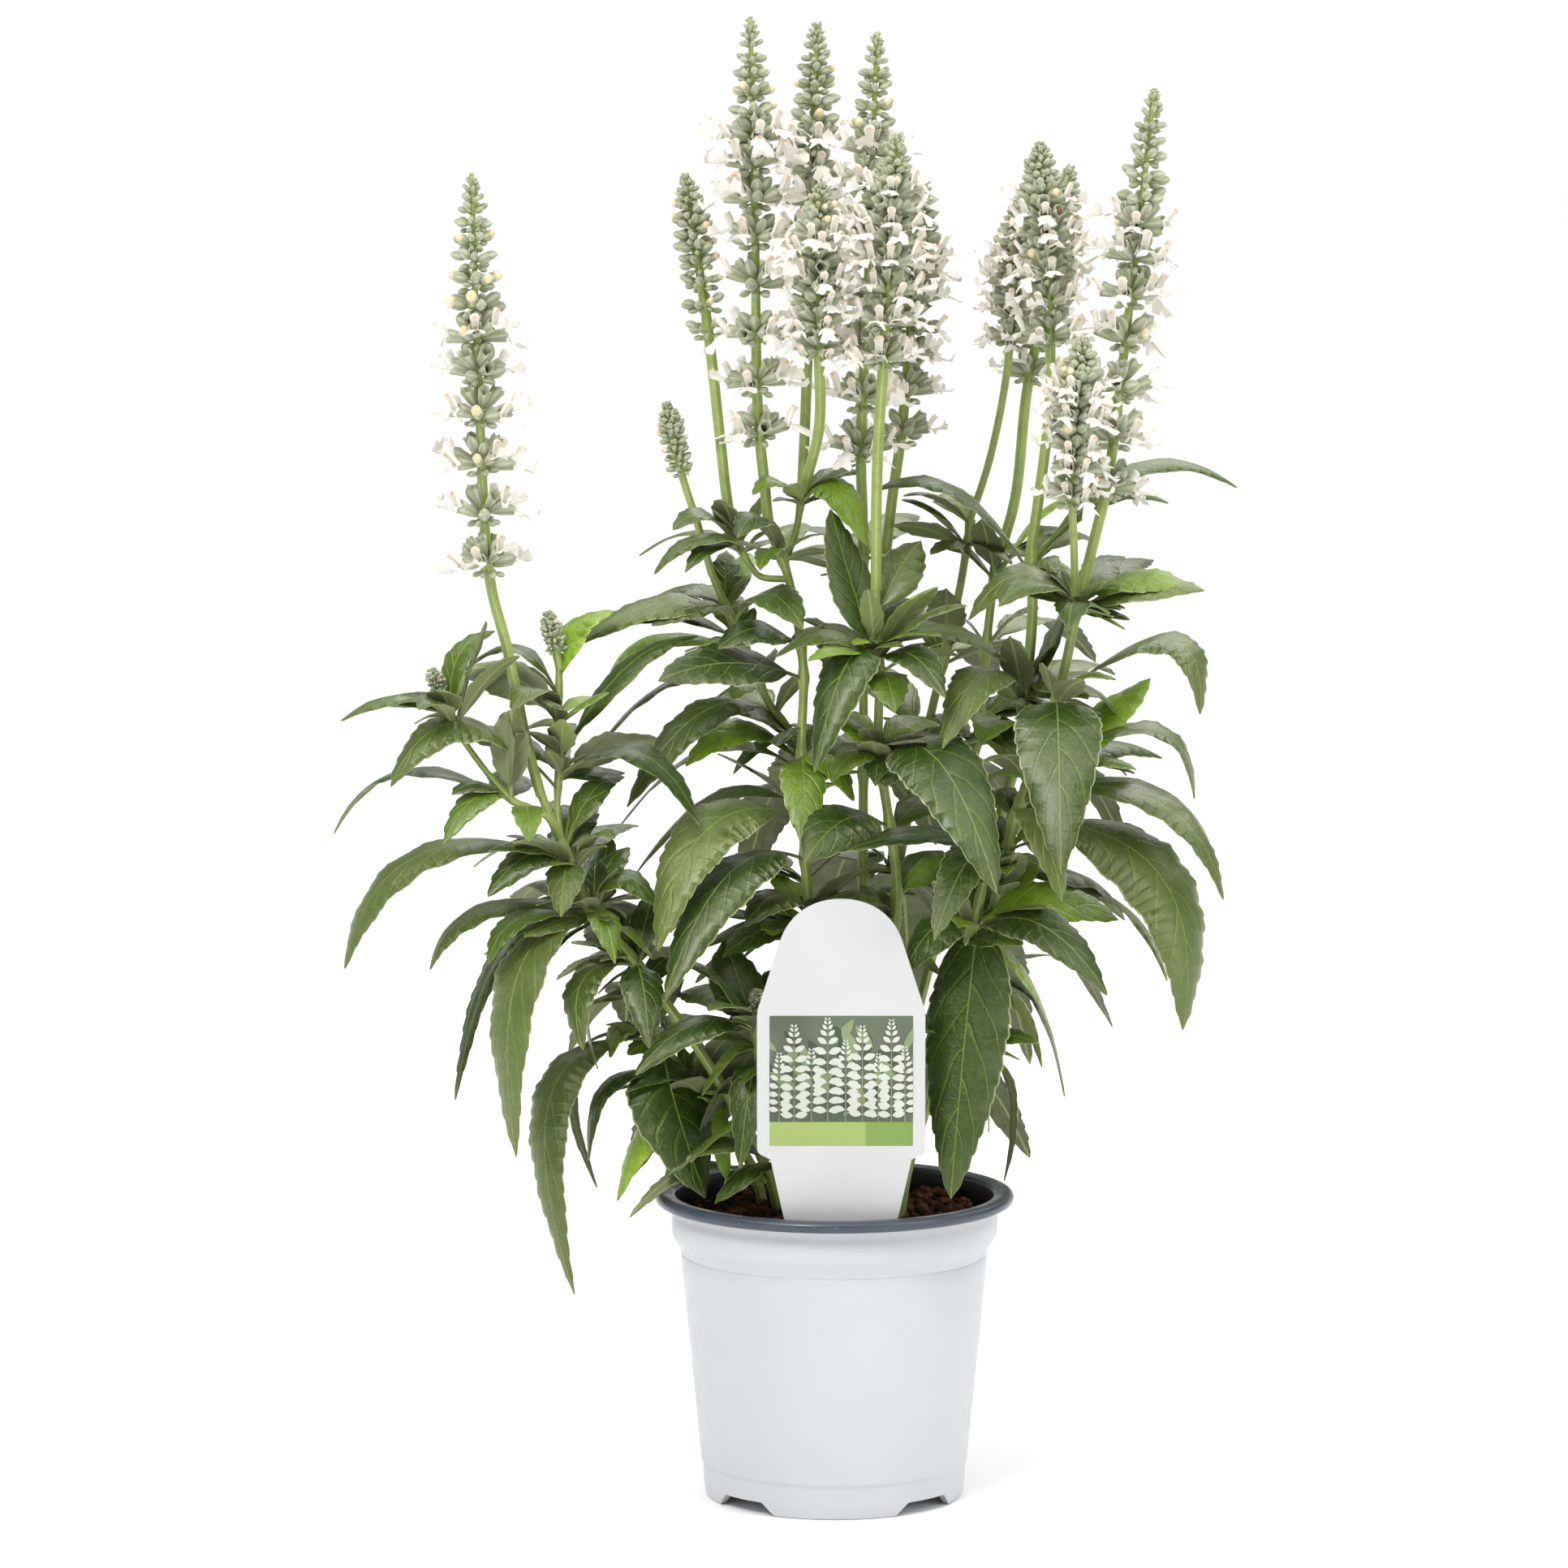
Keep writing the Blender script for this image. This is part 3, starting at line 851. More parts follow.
def leaf_arch(base, row, bend):
    """The three points of the curve that the midrib follows."""
    tip = place((row[3], row[4] + bend[0], row[5] + bend[1]))
    middle = (base + tip) / 2 + np.array([2 * row[7], 0, 2 * row[6]])
    return base, middle, tip


def on_arch(arch, along):
    t = np.asarray(along)[:, None]
    return (1 - t) ** 2 * arch[0] + 2 * t * (1 - t) * arch[1] + t**2 * arch[2]


def best_bend(base, row, tree):
    """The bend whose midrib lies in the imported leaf."""
    shares = np.array([0.3, 0.55, 0.8, 0.97])

    def gap(bend):
        points = metres(on_arch(leaf_arch(base, row, bend), shares))
        return sum(tree.find_nearest(Vector(p))[3] for p in points)

    return min(BENDS, key=gap)


def is_near(row, tips):
    return any(abs(row[3] - x) < 0.6 and abs(row[5] - z) < 0.6 for x, z in tips)


def leaf_tone(row, length, random):
    """A leaf's tint: from 0 for deep green to 1 for bright green, and below 0 the greyer the lower."""
    if row[4] >= BACK_DEPTH:
        return BACK_TINT
    if is_near(row, BRIGHT_TIPS):
        return 0.75 + 0.25 * random.random()
    if is_near(row, DEEP_TIPS):
        return 0.04
    if is_near(row, GREY_TIPS):
        return random.uniform(-0.7, -0.4)
    if random.random() < 0.12:
        return random.uniform(-0.6, -0.3)
    return 0.02 + 0.45 * random.random() ** 1.8 + 0.16 * smoothstep(45, 18, length)


def leaf_stations(length, phase):
    """Shares of a leaf's length at which it is drawn: three to each tooth of its margin."""
    teeth = np.arange(-1, math.ceil(length / TOOTH_SPACING) + 1) - phase
    places = (teeth[:, None] + np.array([0.0, 0.7, 0.96])[None]).ravel() * TOOTH_SPACING / length
    inner = places[(places > 0.012) & (places < 0.985)]
    return np.concatenate([[0], inner, [1]])


def leaf_stance(arch, along, roll, twist):
    """At each station the direction to the leaf's side and out of its upper face, and the face's sign."""
    tangents = tangents_of(on_arch(arch, along))
    chord = arch[2] - arch[0]
    level = unit(np.cross(chord, UP))
    if level[1] < 0:
        level = -level
    lean = roll if chord[0] > 0 else -roll
    sides = []
    for tangent, share in zip(tangents, along):
        flat = unit(level - tangent * level.dot(tangent))
        sides.append(turned(flat, tangent, math.radians(lean + twist * max(0, share - 0.3))))
    faces = np.cross(sides, tangents)
    sign = 1 if faces[0, 2] >= 0 else -1
    return np.array(sides)[:, None], faces[:, None] * sign, sign


def leaf_widths(places, blade, width, phase):
    """The blade's half width and how far its teeth stand out at each station, and its swell from 0 to 1."""
    swell = np.sin(np.pi * blade**0.72).clip(0) ** 0.72
    half = np.maximum(PETIOLE_HALF_WIDTH * (1 - 0.85 * blade), 0.5 * width * swell)
    depth = smoothstep(0.08, 0.3, blade) * smoothstep(1.0, 0.93, blade) * TOOTH_DEPTH * min(1, width / 12)
    tooth = (places / TOOTH_SPACING + phase) % 1
    return half, depth * (smoothstep(0, 0.8, tooth) * smoothstep(1.0, 0.93, tooth) - 0.4), swell


def add_leaf(piece, arch, width, roll, tint, random, pale=False):
    """One blade with its stalk: an upper and a lower sheet that meet at a toothed, waved margin."""
    length = np.linalg.norm(np.diff(on_arch(arch, np.linspace(0, 1, 24)), axis=0), axis=1).sum()
    width = width * (1 + LEAF_FULLNESS * smoothstep(24, 14, width))
    across = LEAF_ACROSS if width > SMALL_LEAF_WIDTH else SMALL_LEAF_ACROSS
    edge = np.abs(across)
    phase = random.random()
    along = leaf_stations(length, phase)
    side, face, sign = leaf_stance(arch, along, roll, random.uniform(-16, 16))
    places = along[:, None] * length
    blade = np.clip((along[:, None] - PETIOLE_SHARE) / (1 - PETIOLE_SHARE), 0, 1)
    half, teeth, swell = leaf_widths(places, blade, width, phase)
    spread = across * (half + teeth * smoothstep(0.6, 1.0, edge))
    waves = random.uniform(0, 2 * math.pi, 4)
    pitches = 2 * math.pi / (WAVE_LENGTH * random.uniform(0.7, 1.3, 4))
    fold = FOLD * random.uniform(0.5, 1.1) * min(1, 13 / width)
    sag = random.uniform(0.14, 0.42)
    left, right = (np.sin(pitches[k] * places + waves[k]) for k in (0, 1))
    pucker = np.sin(2.3 * pitches[2] * places + waves[2]) * np.sin(1.7 * places * pitches[3])
    lift = fold * (np.sqrt(spread**2 + 0.3) - 0.5) * (1 - 0.5 * blade) * swell
    lift += 0.06 * half * np.where(across < 0, left, right) * edge**3.0 * smoothstep(0.05, 0.3, blade)
    lift += 0.012 * half * pucker * np.sin(math.pi * edge)
    lift -= sag * half * edge**2.6
    rib = RIB_THICKNESS * np.exp(-((spread / RIB_HALF_WIDTH) ** 2)) * (1 - 0.8 * blade)
    thickness = np.where(edge > 0.999, EDGE_THICKNESS, BLADE_THICKNESS + rib)
    upper = on_arch(arch, along)[:, None] + spread[..., None] * side + (lift + 0.2)[..., None] * face
    lower = upper - thickness[..., None] * face
    top, under = (2, 1) if pale else (1, 2)
    for points, slot, flip in ((upper, top, sign < 0), (lower, under, sign > 0)):
        piece.sheet(points, slot, tint, along[:, None], across, across * half, flip=flip)


def add_young_leaves(piece, base, along, outward, random):
    """A few small leaves in the angle between a leaf and its stem."""
    side = unit(np.cross(along, outward))
    for _ in range(random.randint(1, 4)):
        turn = math.radians(random.uniform(-150, 150))
        heading = outward * math.cos(turn) + side * math.sin(turn)
        length = random.uniform(12, 36)
        out = unit(heading + along * random.uniform(0.15, 1.1))
        tip = base + out * length - UP * length * random.uniform(0.0, 0.45)
        tip[1] = max(tip[1], YOUNG_LEAF_FRONT)
        middle = (base + tip) / 2 + UP * length * random.uniform(0.1, 0.3)
        tint = random.choice([-0.5, 0.05, 0.2, 0.4, 0.65], p=[0.2, 0.25, 0.25, 0.2, 0.1])
        width = length * random.uniform(0.26, 0.36)
        add_leaf(piece, (base, middle, tip), width, random.uniform(-30, 30), tint, random)


def stem_radii(line, lower, upper, nodes):
    """A stem's radius along its line, thicker at its nodes."""
    shares = np.arange(len(line)) / (len(line) - 1)
    gaps = np.linalg.norm(line[:, None] - np.array(nodes), axis=2).min(axis=1)
    return (lower + (upper - lower) * shares) * (0.74 + 0.3 * np.exp(-((gaps / 2.6) ** 2)))


def leafy_stem(number, paths, paints):
    name = f"leafy_stem_{number:02d}"
    piece = Piece("fine_" + name, [paints["stem"], paints["leaf_top"], paints["leaf_underside"]], "leaf")
    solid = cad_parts[name].data
    tree = BVHTree.FromPolygons([v.co for v in solid.vertices], [p.vertices for p in solid.polygons])
    random = np.random.RandomState(40 + number)
    young = np.random.RandomState(70 + number)
    nodes = []
    for order, row in enumerate(LEAVES + INNER_LEAVES):
        if row[0] != number:
            continue
        base, along = leaf_base(paths, row, order)
        bend = best_bend(base, row, tree) if order < len(LEAVES) else BENDS[0]
        arch = leaf_arch(base, row, bend)
        tint = leaf_tone(row, np.linalg.norm(arch[2] - arch[0]), random)
        add_leaf(piece, arch, row[8], row[9] + bend[2], tint, random, is_near(row, PALE_TIPS))
        nodes.append(base)
        if order >= BROAD_LEAVES and young.random() < YOUNG_LEAVES:
            outward = arch[1] - arch[0]
            add_young_leaves(piece, base, along, unit(outward - along * outward.dot(along)), young)
    for lower, upper, points in paths:
        line = curve_through([place(p) for p in points], 1.6)
        radii = stem_radii(line, lower, upper, nodes)
        ridged_tube(piece, 0, line, radii, 16, 0.35 + 0.3 * random.random(), 0.11)
    piece.build(name)


# Spikes


def bloom(piece, slot, root, out, up, length, radius, tint, profile, columns, mouth=0.0):
    """A ribbed woolly calyx or bud from its foot outwards. Mouth is how far its three corners stand out."""
    side = np.cross(out, up)
    turns = np.arange(columns) * 2 * math.pi / columns
    ribs = np.where(np.arange(columns) % 2 == 0, 1.0, -1.0)
    corner = np.abs(((1.5 * turns / math.pi) % 1) - 0.5) * 4 - 1
    rows = []
    for share, wide in profile:
        reach = length * (share + mouth * corner * smoothstep(0.72, 1.0, share))
        ring = radius * wide * (1 + (0.08 if mouth else 0.03) * ribs)
        rows.append(root + out * reach[:, None] + side * (0.92 * ring * np.cos(turns))[:, None]
                    + up * (ring * np.sin(turns))[:, None])
    along = np.array([share for share, _ in profile])[:, None]
    piece.sheet(rows, slot, tint, along, ribs[None, :], ring=True, flip=True)


def petal(piece, at, flush, rows, columns, shape, *form):
    """A petal as a sheet. Its shape gives its way out, sideways and up for r in 0 to 1 and s in -1 to 1."""
    r, s = np.meshgrid(np.linspace(0, 1, rows), np.linspace(-1, 1, columns), indexing="ij")
    piece.sheet(at(*shape(r, s, *form)), PETAL, flush(r), 0.35 + 0.65 * r, s)


def hood(r, s, rise):
    """The flower's upper lip, which stands up by its rise and bends over the anthers."""
    heading = math.pi * (0.36 * rise - 0.5 * r**1.6)
    path_out = 2.8 + HOOD * 0.86 * np.sin(0.9 * r)
    path_up = 0.7 + HOOD * rise * (0.98 * r - 0.42 * r**2.4)
    head = 1.6 + 0.5 * np.exp(-(((r - 0.78) / 0.16) ** 2))
    close = np.sqrt(np.clip(1 - np.clip((r - 0.82) / 0.18, 0, 1) ** 2, 0.0, 1))
    thick = head * (0.15 + 0.85 * close)
    rim = thick * (np.cos(1.9 * s) - 0.4)
    return path_out - rim * np.sin(heading), thick * np.sin(1.9 * s), path_up + rim * np.cos(heading)


def lower_lip(r, s, droop, frill, curl, skew):
    """The flower's lower lip: two side lobes and a broad notched one, frilled, that droop and curl back."""
    angle = 1.4 * s + 0.25 * skew
    far = np.abs(s)
    outline = 1 - 0.5 * smoothstep(0.4, 0.58, far) - 0.2 * np.exp(-((s / 0.09) ** 2))
    outline = outline - 0.25 * np.exp(-(((far - 0.58) / 0.06) ** 2)) + 0.045 * np.sin(26 * s + frill)
    spread = LIP * outline * r
    forward = spread * np.cos(angle)
    sideways = spread * np.sin(angle)
    bend = droop * (0.45 + 0.55 * np.clip(forward / LIP, 0, 1)) - curl * smoothstep(0.6, 1.0, forward / LIP)
    wave = 0.8 * np.sin(8 * s + frill) * r**2 + 0.4 * np.sin(17 * s - frill) * r**3
    reach = 3.1 + forward * np.cos(bend) + wave * np.sin(bend)
    fall = -1.25 - forward * np.sin(bend) - 0.42 * np.abs(sideways) * r + wave * np.cos(bend)
    return reach, sideways + 1.1 * s * (1 - r), fall


def corolla(piece, root, out, up, size, random):
    """A two-lipped flower: a tube, a narrow hood that stands up, and a broad frilled lip below it."""
    side = np.cross(out, up)

    def at(reach, across, above):
        return root + size * (reach[..., None] * out + across[..., None] * side + above[..., None] * up)

    turns = np.arange(8) * math.pi / 4
    reach, wide, share = np.array([[-2.0, 0.9, 0.0], [1.0, 1.2, 0.15], [3.4, 1.55, 0.4]]).T[:, :, None]
    tube = at(reach * np.ones(8), wide * np.cos(turns), 1.1 * wide * np.sin(turns))
    piece.sheet(tube, PETAL, 0.0, share, ring=True, flip=True)

    rise = random.uniform(0.75, 1.15)
    petal(piece, at, lambda r: 0.7 * smoothstep(0.7, 0.95, r), 6, 7, hood, rise)
    for k in (-1, 1):
        tip = at(np.array(2.8 + HOOD * 0.66), np.array(0.5 * k), np.array(0.4 + HOOD * 0.5 * rise))
        lean, over = unit(out - 0.7 * up), unit(up + 0.7 * out)
        bloom(piece, ANTHER, tip, lean, over, 0.8 * size, 0.3 * size, 0.5, BEAD, 4)

    droop = math.radians(random.uniform(-5, 62))
    frill = random.uniform(0, 2 * math.pi)
    curl = random.uniform(0.0, 0.8)
    skew = random.uniform(-0.25, 0.25)
    form = (droop, frill, curl, skew)
    petal(piece, at, lambda r: 0.15 * smoothstep(0.35, 0.0, r), 5, 19, lower_lip, *form)


class Stalk:
    """A spike's stalk. Its whorls start at a share of its line."""

    def __init__(self, points, radius, start):
        self.line = curve_through([place(p) for p in points], STALK_STEP)
        self.tangents = tangents_of(self.line)
        self.length = STALK_STEP * (len(self.line) - 1)
        self.foot_radius = radius
        self.start = start

    def radius(self, share):
        return self.foot_radius * (1 - 0.55 * smoothstep(self.start, 1.0, share))

    def draw(self, piece):
        """Draws the stalk, with its foot sunk a little way into its stem."""
        line = np.concatenate([[self.line[0] - 2.2 * self.tangents[0]], self.line])[::4]
        radii = self.radius(np.arange(len(line)) / (len(line) - 1))
        ridged_tube(piece, STALK, line, radii, 12, 0.6, 0.12)

    def outward(self, share, angle):
        """The stalk's middle at a share of its line, its direction there, and the way out at an angle."""
        last = len(self.line) - 1
        spot = min(last, max(0, round(share * last)))
        tangent = self.tangents[spot]
        u, v = across_at(tangent)
        return self.line[spot], tangent, u * math.cos(angle) + v * math.sin(angle)


def whorl_heights(length):
    """Where the whorls stand, from the first at 0 to the spike's tip at 1."""
    height, heights = 0.02, []
    while height < 0.985:
        heights.append(height)
        height += min(WHORL_SPACING / length, 0.15 * (1 - height) + 0.014)
    return heights


def add_whorl(piece, stalk, order, height, reaches, flowering, random):
    """The rings of calyces of one whorl, in flower if it stands lower than flowering."""
    in_flower = height < flowering
    reach = reaches[0] * min(1.12 - 0.2 * in_flower, 1.87 * math.sqrt(1 - height))
    spin = order * math.pi / 4 + random.uniform(-0.3, 0.3)
    rings = OPEN_WHORL if in_flower else CLOSED_WHORL
    if height > 0.9:
        rings = TIP_WHORL
    blooming = set(random.permutation(7)[:random.randint(4, 8)].tolist()) if in_flower else set()
    for ring, (many, offset, scale, climb) in enumerate(rings):
        for i in range(many):
            angle = spin + 2 * math.pi * (i + 0.5 * (ring % 2)) / many + random.uniform(-0.2, 0.2)
            rise = (offset * reach + random.uniform(-0.7, 0.7)) / stalk.length
            share = height * (1 - stalk.start) + stalk.start + rise
            lift = math.radians(climb + random.uniform(-13, 13))
            blooms = ring == 0 and i in blooming
            opened = blooms or (in_flower and ring < 2 and random.random() < 0.4)
            stub = (0.1 if in_flower and ring < 2 else 0.24) * reach * scale
            stance, sizes = (share, angle, lift), (reach, scale, stub)
            seat = add_calyx(piece, stalk, stance, sizes, opened, ring < 2, random)
            foot, out, up, length = seat
            if blooms:
                size = reaches[1] / FLOWER_REACH * random.uniform(0.88, 1.1)
                corolla(piece, foot + out * length * 0.82, out, up, size, random)
            elif opened and random.random() < 0.12:
                add_bud(piece, WITHERED, seat, 0.75, 2.8, 0.8, 5)
            elif ring == 0 and not opened and 0.1 < height < 0.85 and random.random() < 0.17:
                add_bud(piece, BUD_TIP, seat, 0.5, length * 0.52, 0.25 * length, 8)


def add_calyx(piece, stalk, stance, sizes, opened, large, random):
    """A calyx at the end of a stub. Returns the calyx's foot, direction, upper side and length."""
    share, angle, lift = stance
    reach, scale, stub = sizes
    centre, tangent, outward = stalk.outward(share, angle)
    out = outward * math.cos(lift) + tangent * math.sin(lift)
    up = unit(tangent - out * tangent.dot(out))
    skin = stalk.radius(share) * 0.8
    vary = random.uniform(0.88, 1.1)
    tint = random.uniform(0.15, 1.0)
    length = max(1.3, (reach - skin - stub) * scale * vary)
    foot = centre + outward * skin * 0.9 + out * stub
    if stub > 0.5:
        bloom(piece, STALK, centre + outward * skin * 0.8, out, up, stub + 0.8, 0.38, 0.9, PEDICEL, 4)
    if opened:
        bloom(piece, CALYX, foot, out, up, length * 1.05, 0.235 * length + 0.35, tint, BELL, 10, 0.11)
    elif large:
        bloom(piece, CALYX, foot, out, up, length * 0.92, 0.27 * length, tint, BUD, 8)
    else:
        bloom(piece, CALYX, foot, out, up, length * 0.92, 0.31 * length, tint, BUD, 6)
    return foot, out, up, length


def add_bud(piece, slot, seat, share, length, radius, columns):
    """A bud that stands in a calyx, from a share of the calyx's length."""
    foot, out, up, calyx_length = seat
    bloom(piece, slot, foot + out * calyx_length * share, out, up, length, radius, 0.5, BUD, columns)


def flower_spike(number, row, paints):
    thickness, calyx_reach, flower_reach, open_share, start, points = row
    name = f"flower_spike_{number:02d}"
    piece = Piece("fine_" + name, [paints[key] for key in SPIKE_PAINTS], "flower")
    random = np.random.RandomState(99 + number)
    stalk = Stalk(points, STALK_RADIUS * thickness, start)
    stalk.draw(piece)
    flowering = 1.5 * open_share - 0.5 * open_share**2
    for order, height in enumerate(whorl_heights(stalk.length * (1 - start))):
        add_whorl(piece, stalk, order, height, (calyx_reach, flower_reach), flowering, random)
    for i in range(9):
        end, tangent, outward = stalk.outward(1, i * 2.4)
        out = unit(outward * (0.15 + 0.09 * i) + tangent)
        up = unit(tangent - out * tangent.dot(out))
        bloom(piece, CALYX, end - tangent * (1.7 + 0.3 * i), out, up, 1.7, 0.7, 2.0, BUD, 6)
    piece.build(name)


# Pot, soil and tag


def arc(centre, radius, start, end, steps):
    """Points of an arc in degrees, as radius and height pairs."""
    angles = np.radians(np.linspace(start, end, steps))
    return [(centre[0] + radius * math.cos(a), centre[1] + radius * math.sin(a)) for a in angles]


def ring_of(centre, radius, turns):
    """Points at a radius round an upright axis through the centre, one at each turn in radians."""
    circle = np.stack([radius * np.cos(turns), radius * np.sin(turns), 0 * turns], axis=-1)
    return np.asarray(centre) + circle


def lathe(name, profile, columns):
    """An object turned about the pot's axis, from each ring's radius, height and slot of the step to it."""
    turns = np.arange(columns) * 2 * math.pi / columns
    verts, faces, slots, rings = [], [], [], []
    for radius, height, _ in profile:
        around = turns if radius > 0 else turns[:1]
        rings.append(range(len(verts), len(verts) + len(around)))
        verts += [(radius * math.cos(t), radius * math.sin(t), height) for t in around]
    for lower, upper, (_, _, slot) in zip(rings, rings[1:], profile[1:]):
        for i in range(columns):
            j = (i + 1) % columns
            corners = [(lower, i), (lower, j), (upper, j), (upper, i)]
            faces.append(list(dict.fromkeys(ring[k % len(ring)] for ring, k in corners)))
            slots.append(slot)
    mesh = mesh_of(name, metres(verts), faces)
    mesh.polygons.foreach_set("material_index", slots)
    return add_object(name, mesh)


def add_cutter(name, ends, turn):
    """A solid between two outlines of points, turned about the pot's axis."""
    c, s = math.cos(turn), math.sin(turn)
    verts = [(x * c - y * s, x * s + y * c, z) for end in ends for x, y, z in end]
    n = len(ends[0])
    faces = [list(range(n)), list(range(2 * n - 1, n - 1, -1))]
    faces += [[i, i + n, (i + 1) % n + n, (i + 1) % n] for i in range(n)]
    return add_object(name, mesh_of(name, metres(verts), faces))


def cut(piece, cutters):
    for cutter in cutters:
        change = piece.modifiers.new("cut", "BOOLEAN")
        change.operation = "DIFFERENCE"
        change.solver = "EXACT"
        change.object = cutter
    depsgraph = bpy.context.evaluated_depsgraph_get()
    done = bpy.data.meshes.new_from_object(piece.evaluated_get(depsgraph))
    piece.modifiers.clear()
    piece.data = done
    for cutter in cutters:
        bpy.data.objects.remove(cutter)


def pot_profile():
    """The pot's rings, from the middle of its underside over the lip to the middle of its floor."""
    outside = [
        (0, FLOOR_BOTTOM), (38.2, FLOOR_BOTTOM), (38.5, 0.4), (38.9, 0), *arc((40.1, 0.9), 0.9, -90, -10, 5),
        (41.6, 4.5), (41.8, 9.8), (BASE_RADIUS, 10.6), (42.25, 11.0), (42.4, 11.8), (42.55, 14.0),
        *[(42.55 + (48.2 - 42.55) * t, 14 + 57 * t) for t in np.linspace(0.1, 1, 10)],
        (48.7, 77.4), (48.4, 77.9), (48.85, 78.5), (49.25, 80.3), (49.9, 81.2), (51.0, 82.8), (51.55, 83.8),
        (COLLAR_RADIUS, 85.2), (COLLAR_RADIUS, 89.6), (COLLAR_RADIUS - 0.2, 90.4),
        (COLLAR_RADIUS - 0.2, 92.8), (COLLAR_RADIUS + 0.3, LIP_UNDERSIDE),
    ]
    lip = [
        (LIP_RADIUS - 1.8, LIP_UNDERSIDE), *arc((LIP_RADIUS - 1.8, LIP_UNDERSIDE + 1.8), 1.8, -80, 75, 12),
        (LIP_RADIUS - 2.4, POT_HEIGHT - 0.02), (LIP_RADIUS - 4.2, POT_HEIGHT - 0.15),
        *arc((COLLAR_RADIUS + 0.2, POT_HEIGHT - 1.9), 1.6, 80, 170, 7),
    ]
    inside = [
        (COLLAR_RADIUS - 1.3, 92.0), (COLLAR_RADIUS - 1.2, 85.0), (50.2, 83.6), (48.4, 81.2), (47.8, 79.6),
        (46.5, 66.6), (41.3, 13), (40.6, 11), (40.4, FLOOR_TOP), (0, FLOOR_TOP),
    ]
    return [(*ring, slot) for slot, rings in enumerate((outside, lip, inside)) for ring in rings]


def make_pot(paints):
    pot = lathe("pot_shell", pot_profile(), POT_COLUMNS)
    arch = [
        (-NOTCH_FOOT, -1), (NOTCH_FOOT, -1), (NOTCH_HEAD + 0.8, NOTCH_HEIGHT - 0.7),
        (NOTCH_HEAD, NOTCH_HEIGHT), (-NOTCH_HEAD, NOTCH_HEIGHT), (-NOTCH_HEAD - 0.8, NOTCH_HEIGHT - 0.7),
    ]
    notch = [[(x, y, z) for x, z in arch] for y in (-46, -32)]
    circle = np.arange(24) * math.pi / 12
    drain = [ring_of((0, -DRAIN_CIRCLE, FLOOR_TOP + above), DRAIN_RADIUS, circle) for above in (-5, 5)]
    cutters = []
    for turn in np.radians([45, 135, 225, 315]):
        cutters += [add_cutter("notch", notch, turn), add_cutter("drain", drain, turn)]
    for key in ("white_plastic", "dark_plastic", "inner_plastic"):
        pot.data.materials.append(paints[key])
    cut(pot, cutters)
    pot.data.shade_smooth()
    pot.data.set_sharp_from_angle(angle=math.radians(38))
    dress(pot, "pot_plastic", "pot")


def soil_height(x, y, bumps):
    """How far the soil lies above its plain top: a heap in two steps, with bumps."""
    waves = sum(size * np.sin(pitch * (x * math.cos(heading) + y * math.sin(heading)) + phase)
                for pitch, heading, phase, size in bumps)
    heap = smoothstep(47.0, 44.0, np.hypot(x, y)) * SOIL_HEAP[0]
    crown = smoothstep(40.0, 14.0, np.hypot(x + 4.0, y - 6.0)) * SOIL_HEAP[1]
    return heap + crown + np.clip(0.55 * waves, -1.8, 1.8)


def add_crumb(piece, bumps, random):
    """A six-sided crumb that lies on the soil."""
    radius = 47.0 * math.sqrt(random.random())
    angle = random.uniform(0, 2 * math.pi)
    size = random.uniform(0.4, 1.3) if random.random() < 0.8 else random.uniform(1.3, 2.7)
    spot = np.array([radius * math.cos(angle), radius * math.sin(angle)])
    spot = spot if np.linalg.norm(spot) + size < 47.6 else spot * 0.9
    middle = SOIL_TOP + soil_height(*spot, bumps) + 0.25 * size
    rows = []
    for polar in np.linspace(0.02, math.pi - 0.02, 4):
        reach = size * random.uniform(0.7, 1.15, 6) * math.sin(polar)
        centre = (*spot, middle + 0.7 * size * math.cos(polar))
        rows.append(ring_of(centre, reach, np.arange(6) * math.pi / 3))
    piece.sheet(rows, 0, random.uniform(0, 1), ring=True)


def make_soil(paints):
    piece = Piece("peat", [paints["peat"]], "peat")
    random = np.random.RandomState(5)
    rings = np.concatenate([np.linspace(0.01, 47.5, 52), [SOIL_WALL[0][0]]])[:, None]
    turns = np.arange(SOIL_COLUMNS) * 2 * math.pi / SOIL_COLUMNS
    bumps = [(random.uniform(0.25, 1.1), random.uniform(0, 2 * math.pi), random.uniform(0, 2 * math.pi),
              random.uniform(0.18, 0.5)) for _ in range(26)]
    x, y = rings * np.cos(turns), rings * np.sin(turns)
    z = SOIL_TOP - 0.2 + soil_height(x, y, bumps) + random.uniform(-0.25, 0.25, x.shape)
    z[-1] = SOIL_WALL[0][1]
    piece.sheet(np.stack([x, y, z], axis=-1), 0, random.uniform(0.1, 0.6, x.shape), ring=True, flip=True)
    piece.sheet([ring_of((0, 0, height), radius, turns) for radius, height in SOIL_WALL], 0, 0.3, ring=True,
                flip=True)
    for _ in range(CRUMBS):
        add_crumb(piece, bumps, random)
    piece.build("soil")


def tag_outline(inset):
    """The tag's outline from its stake tip round to it again, as x and z about the tag's middle."""
    half, shoulder, top = TAG_HALF_WIDTH - inset, 18.8 - inset, TAG_TOP - inset
    path = [
        (0.0, STAKE_TIP + inset), (17.9 - inset, 97), (21.9 - inset, 115), (half - 1.0, 116.6),
        (half - 0.3, 117.3), (half, 118.4), (half, 160), (half - 0.25, 162.2), (half - 0.9, 164.2),
        (shoulder, 184),
    ]
    for t in np.linspace(0, 1, 13)[1:]:
        a, b, c, d = (1 - t) ** 3, 3 * (1 - t) ** 2 * t, 3 * (1 - t) * t**2, t**3
        path.append((a * shoulder + b * 16 + c * 9, a * 184 + b * 192 + (c + d) * top))
    return path + [(-x, z) for x, z in path[-2:0:-1]]


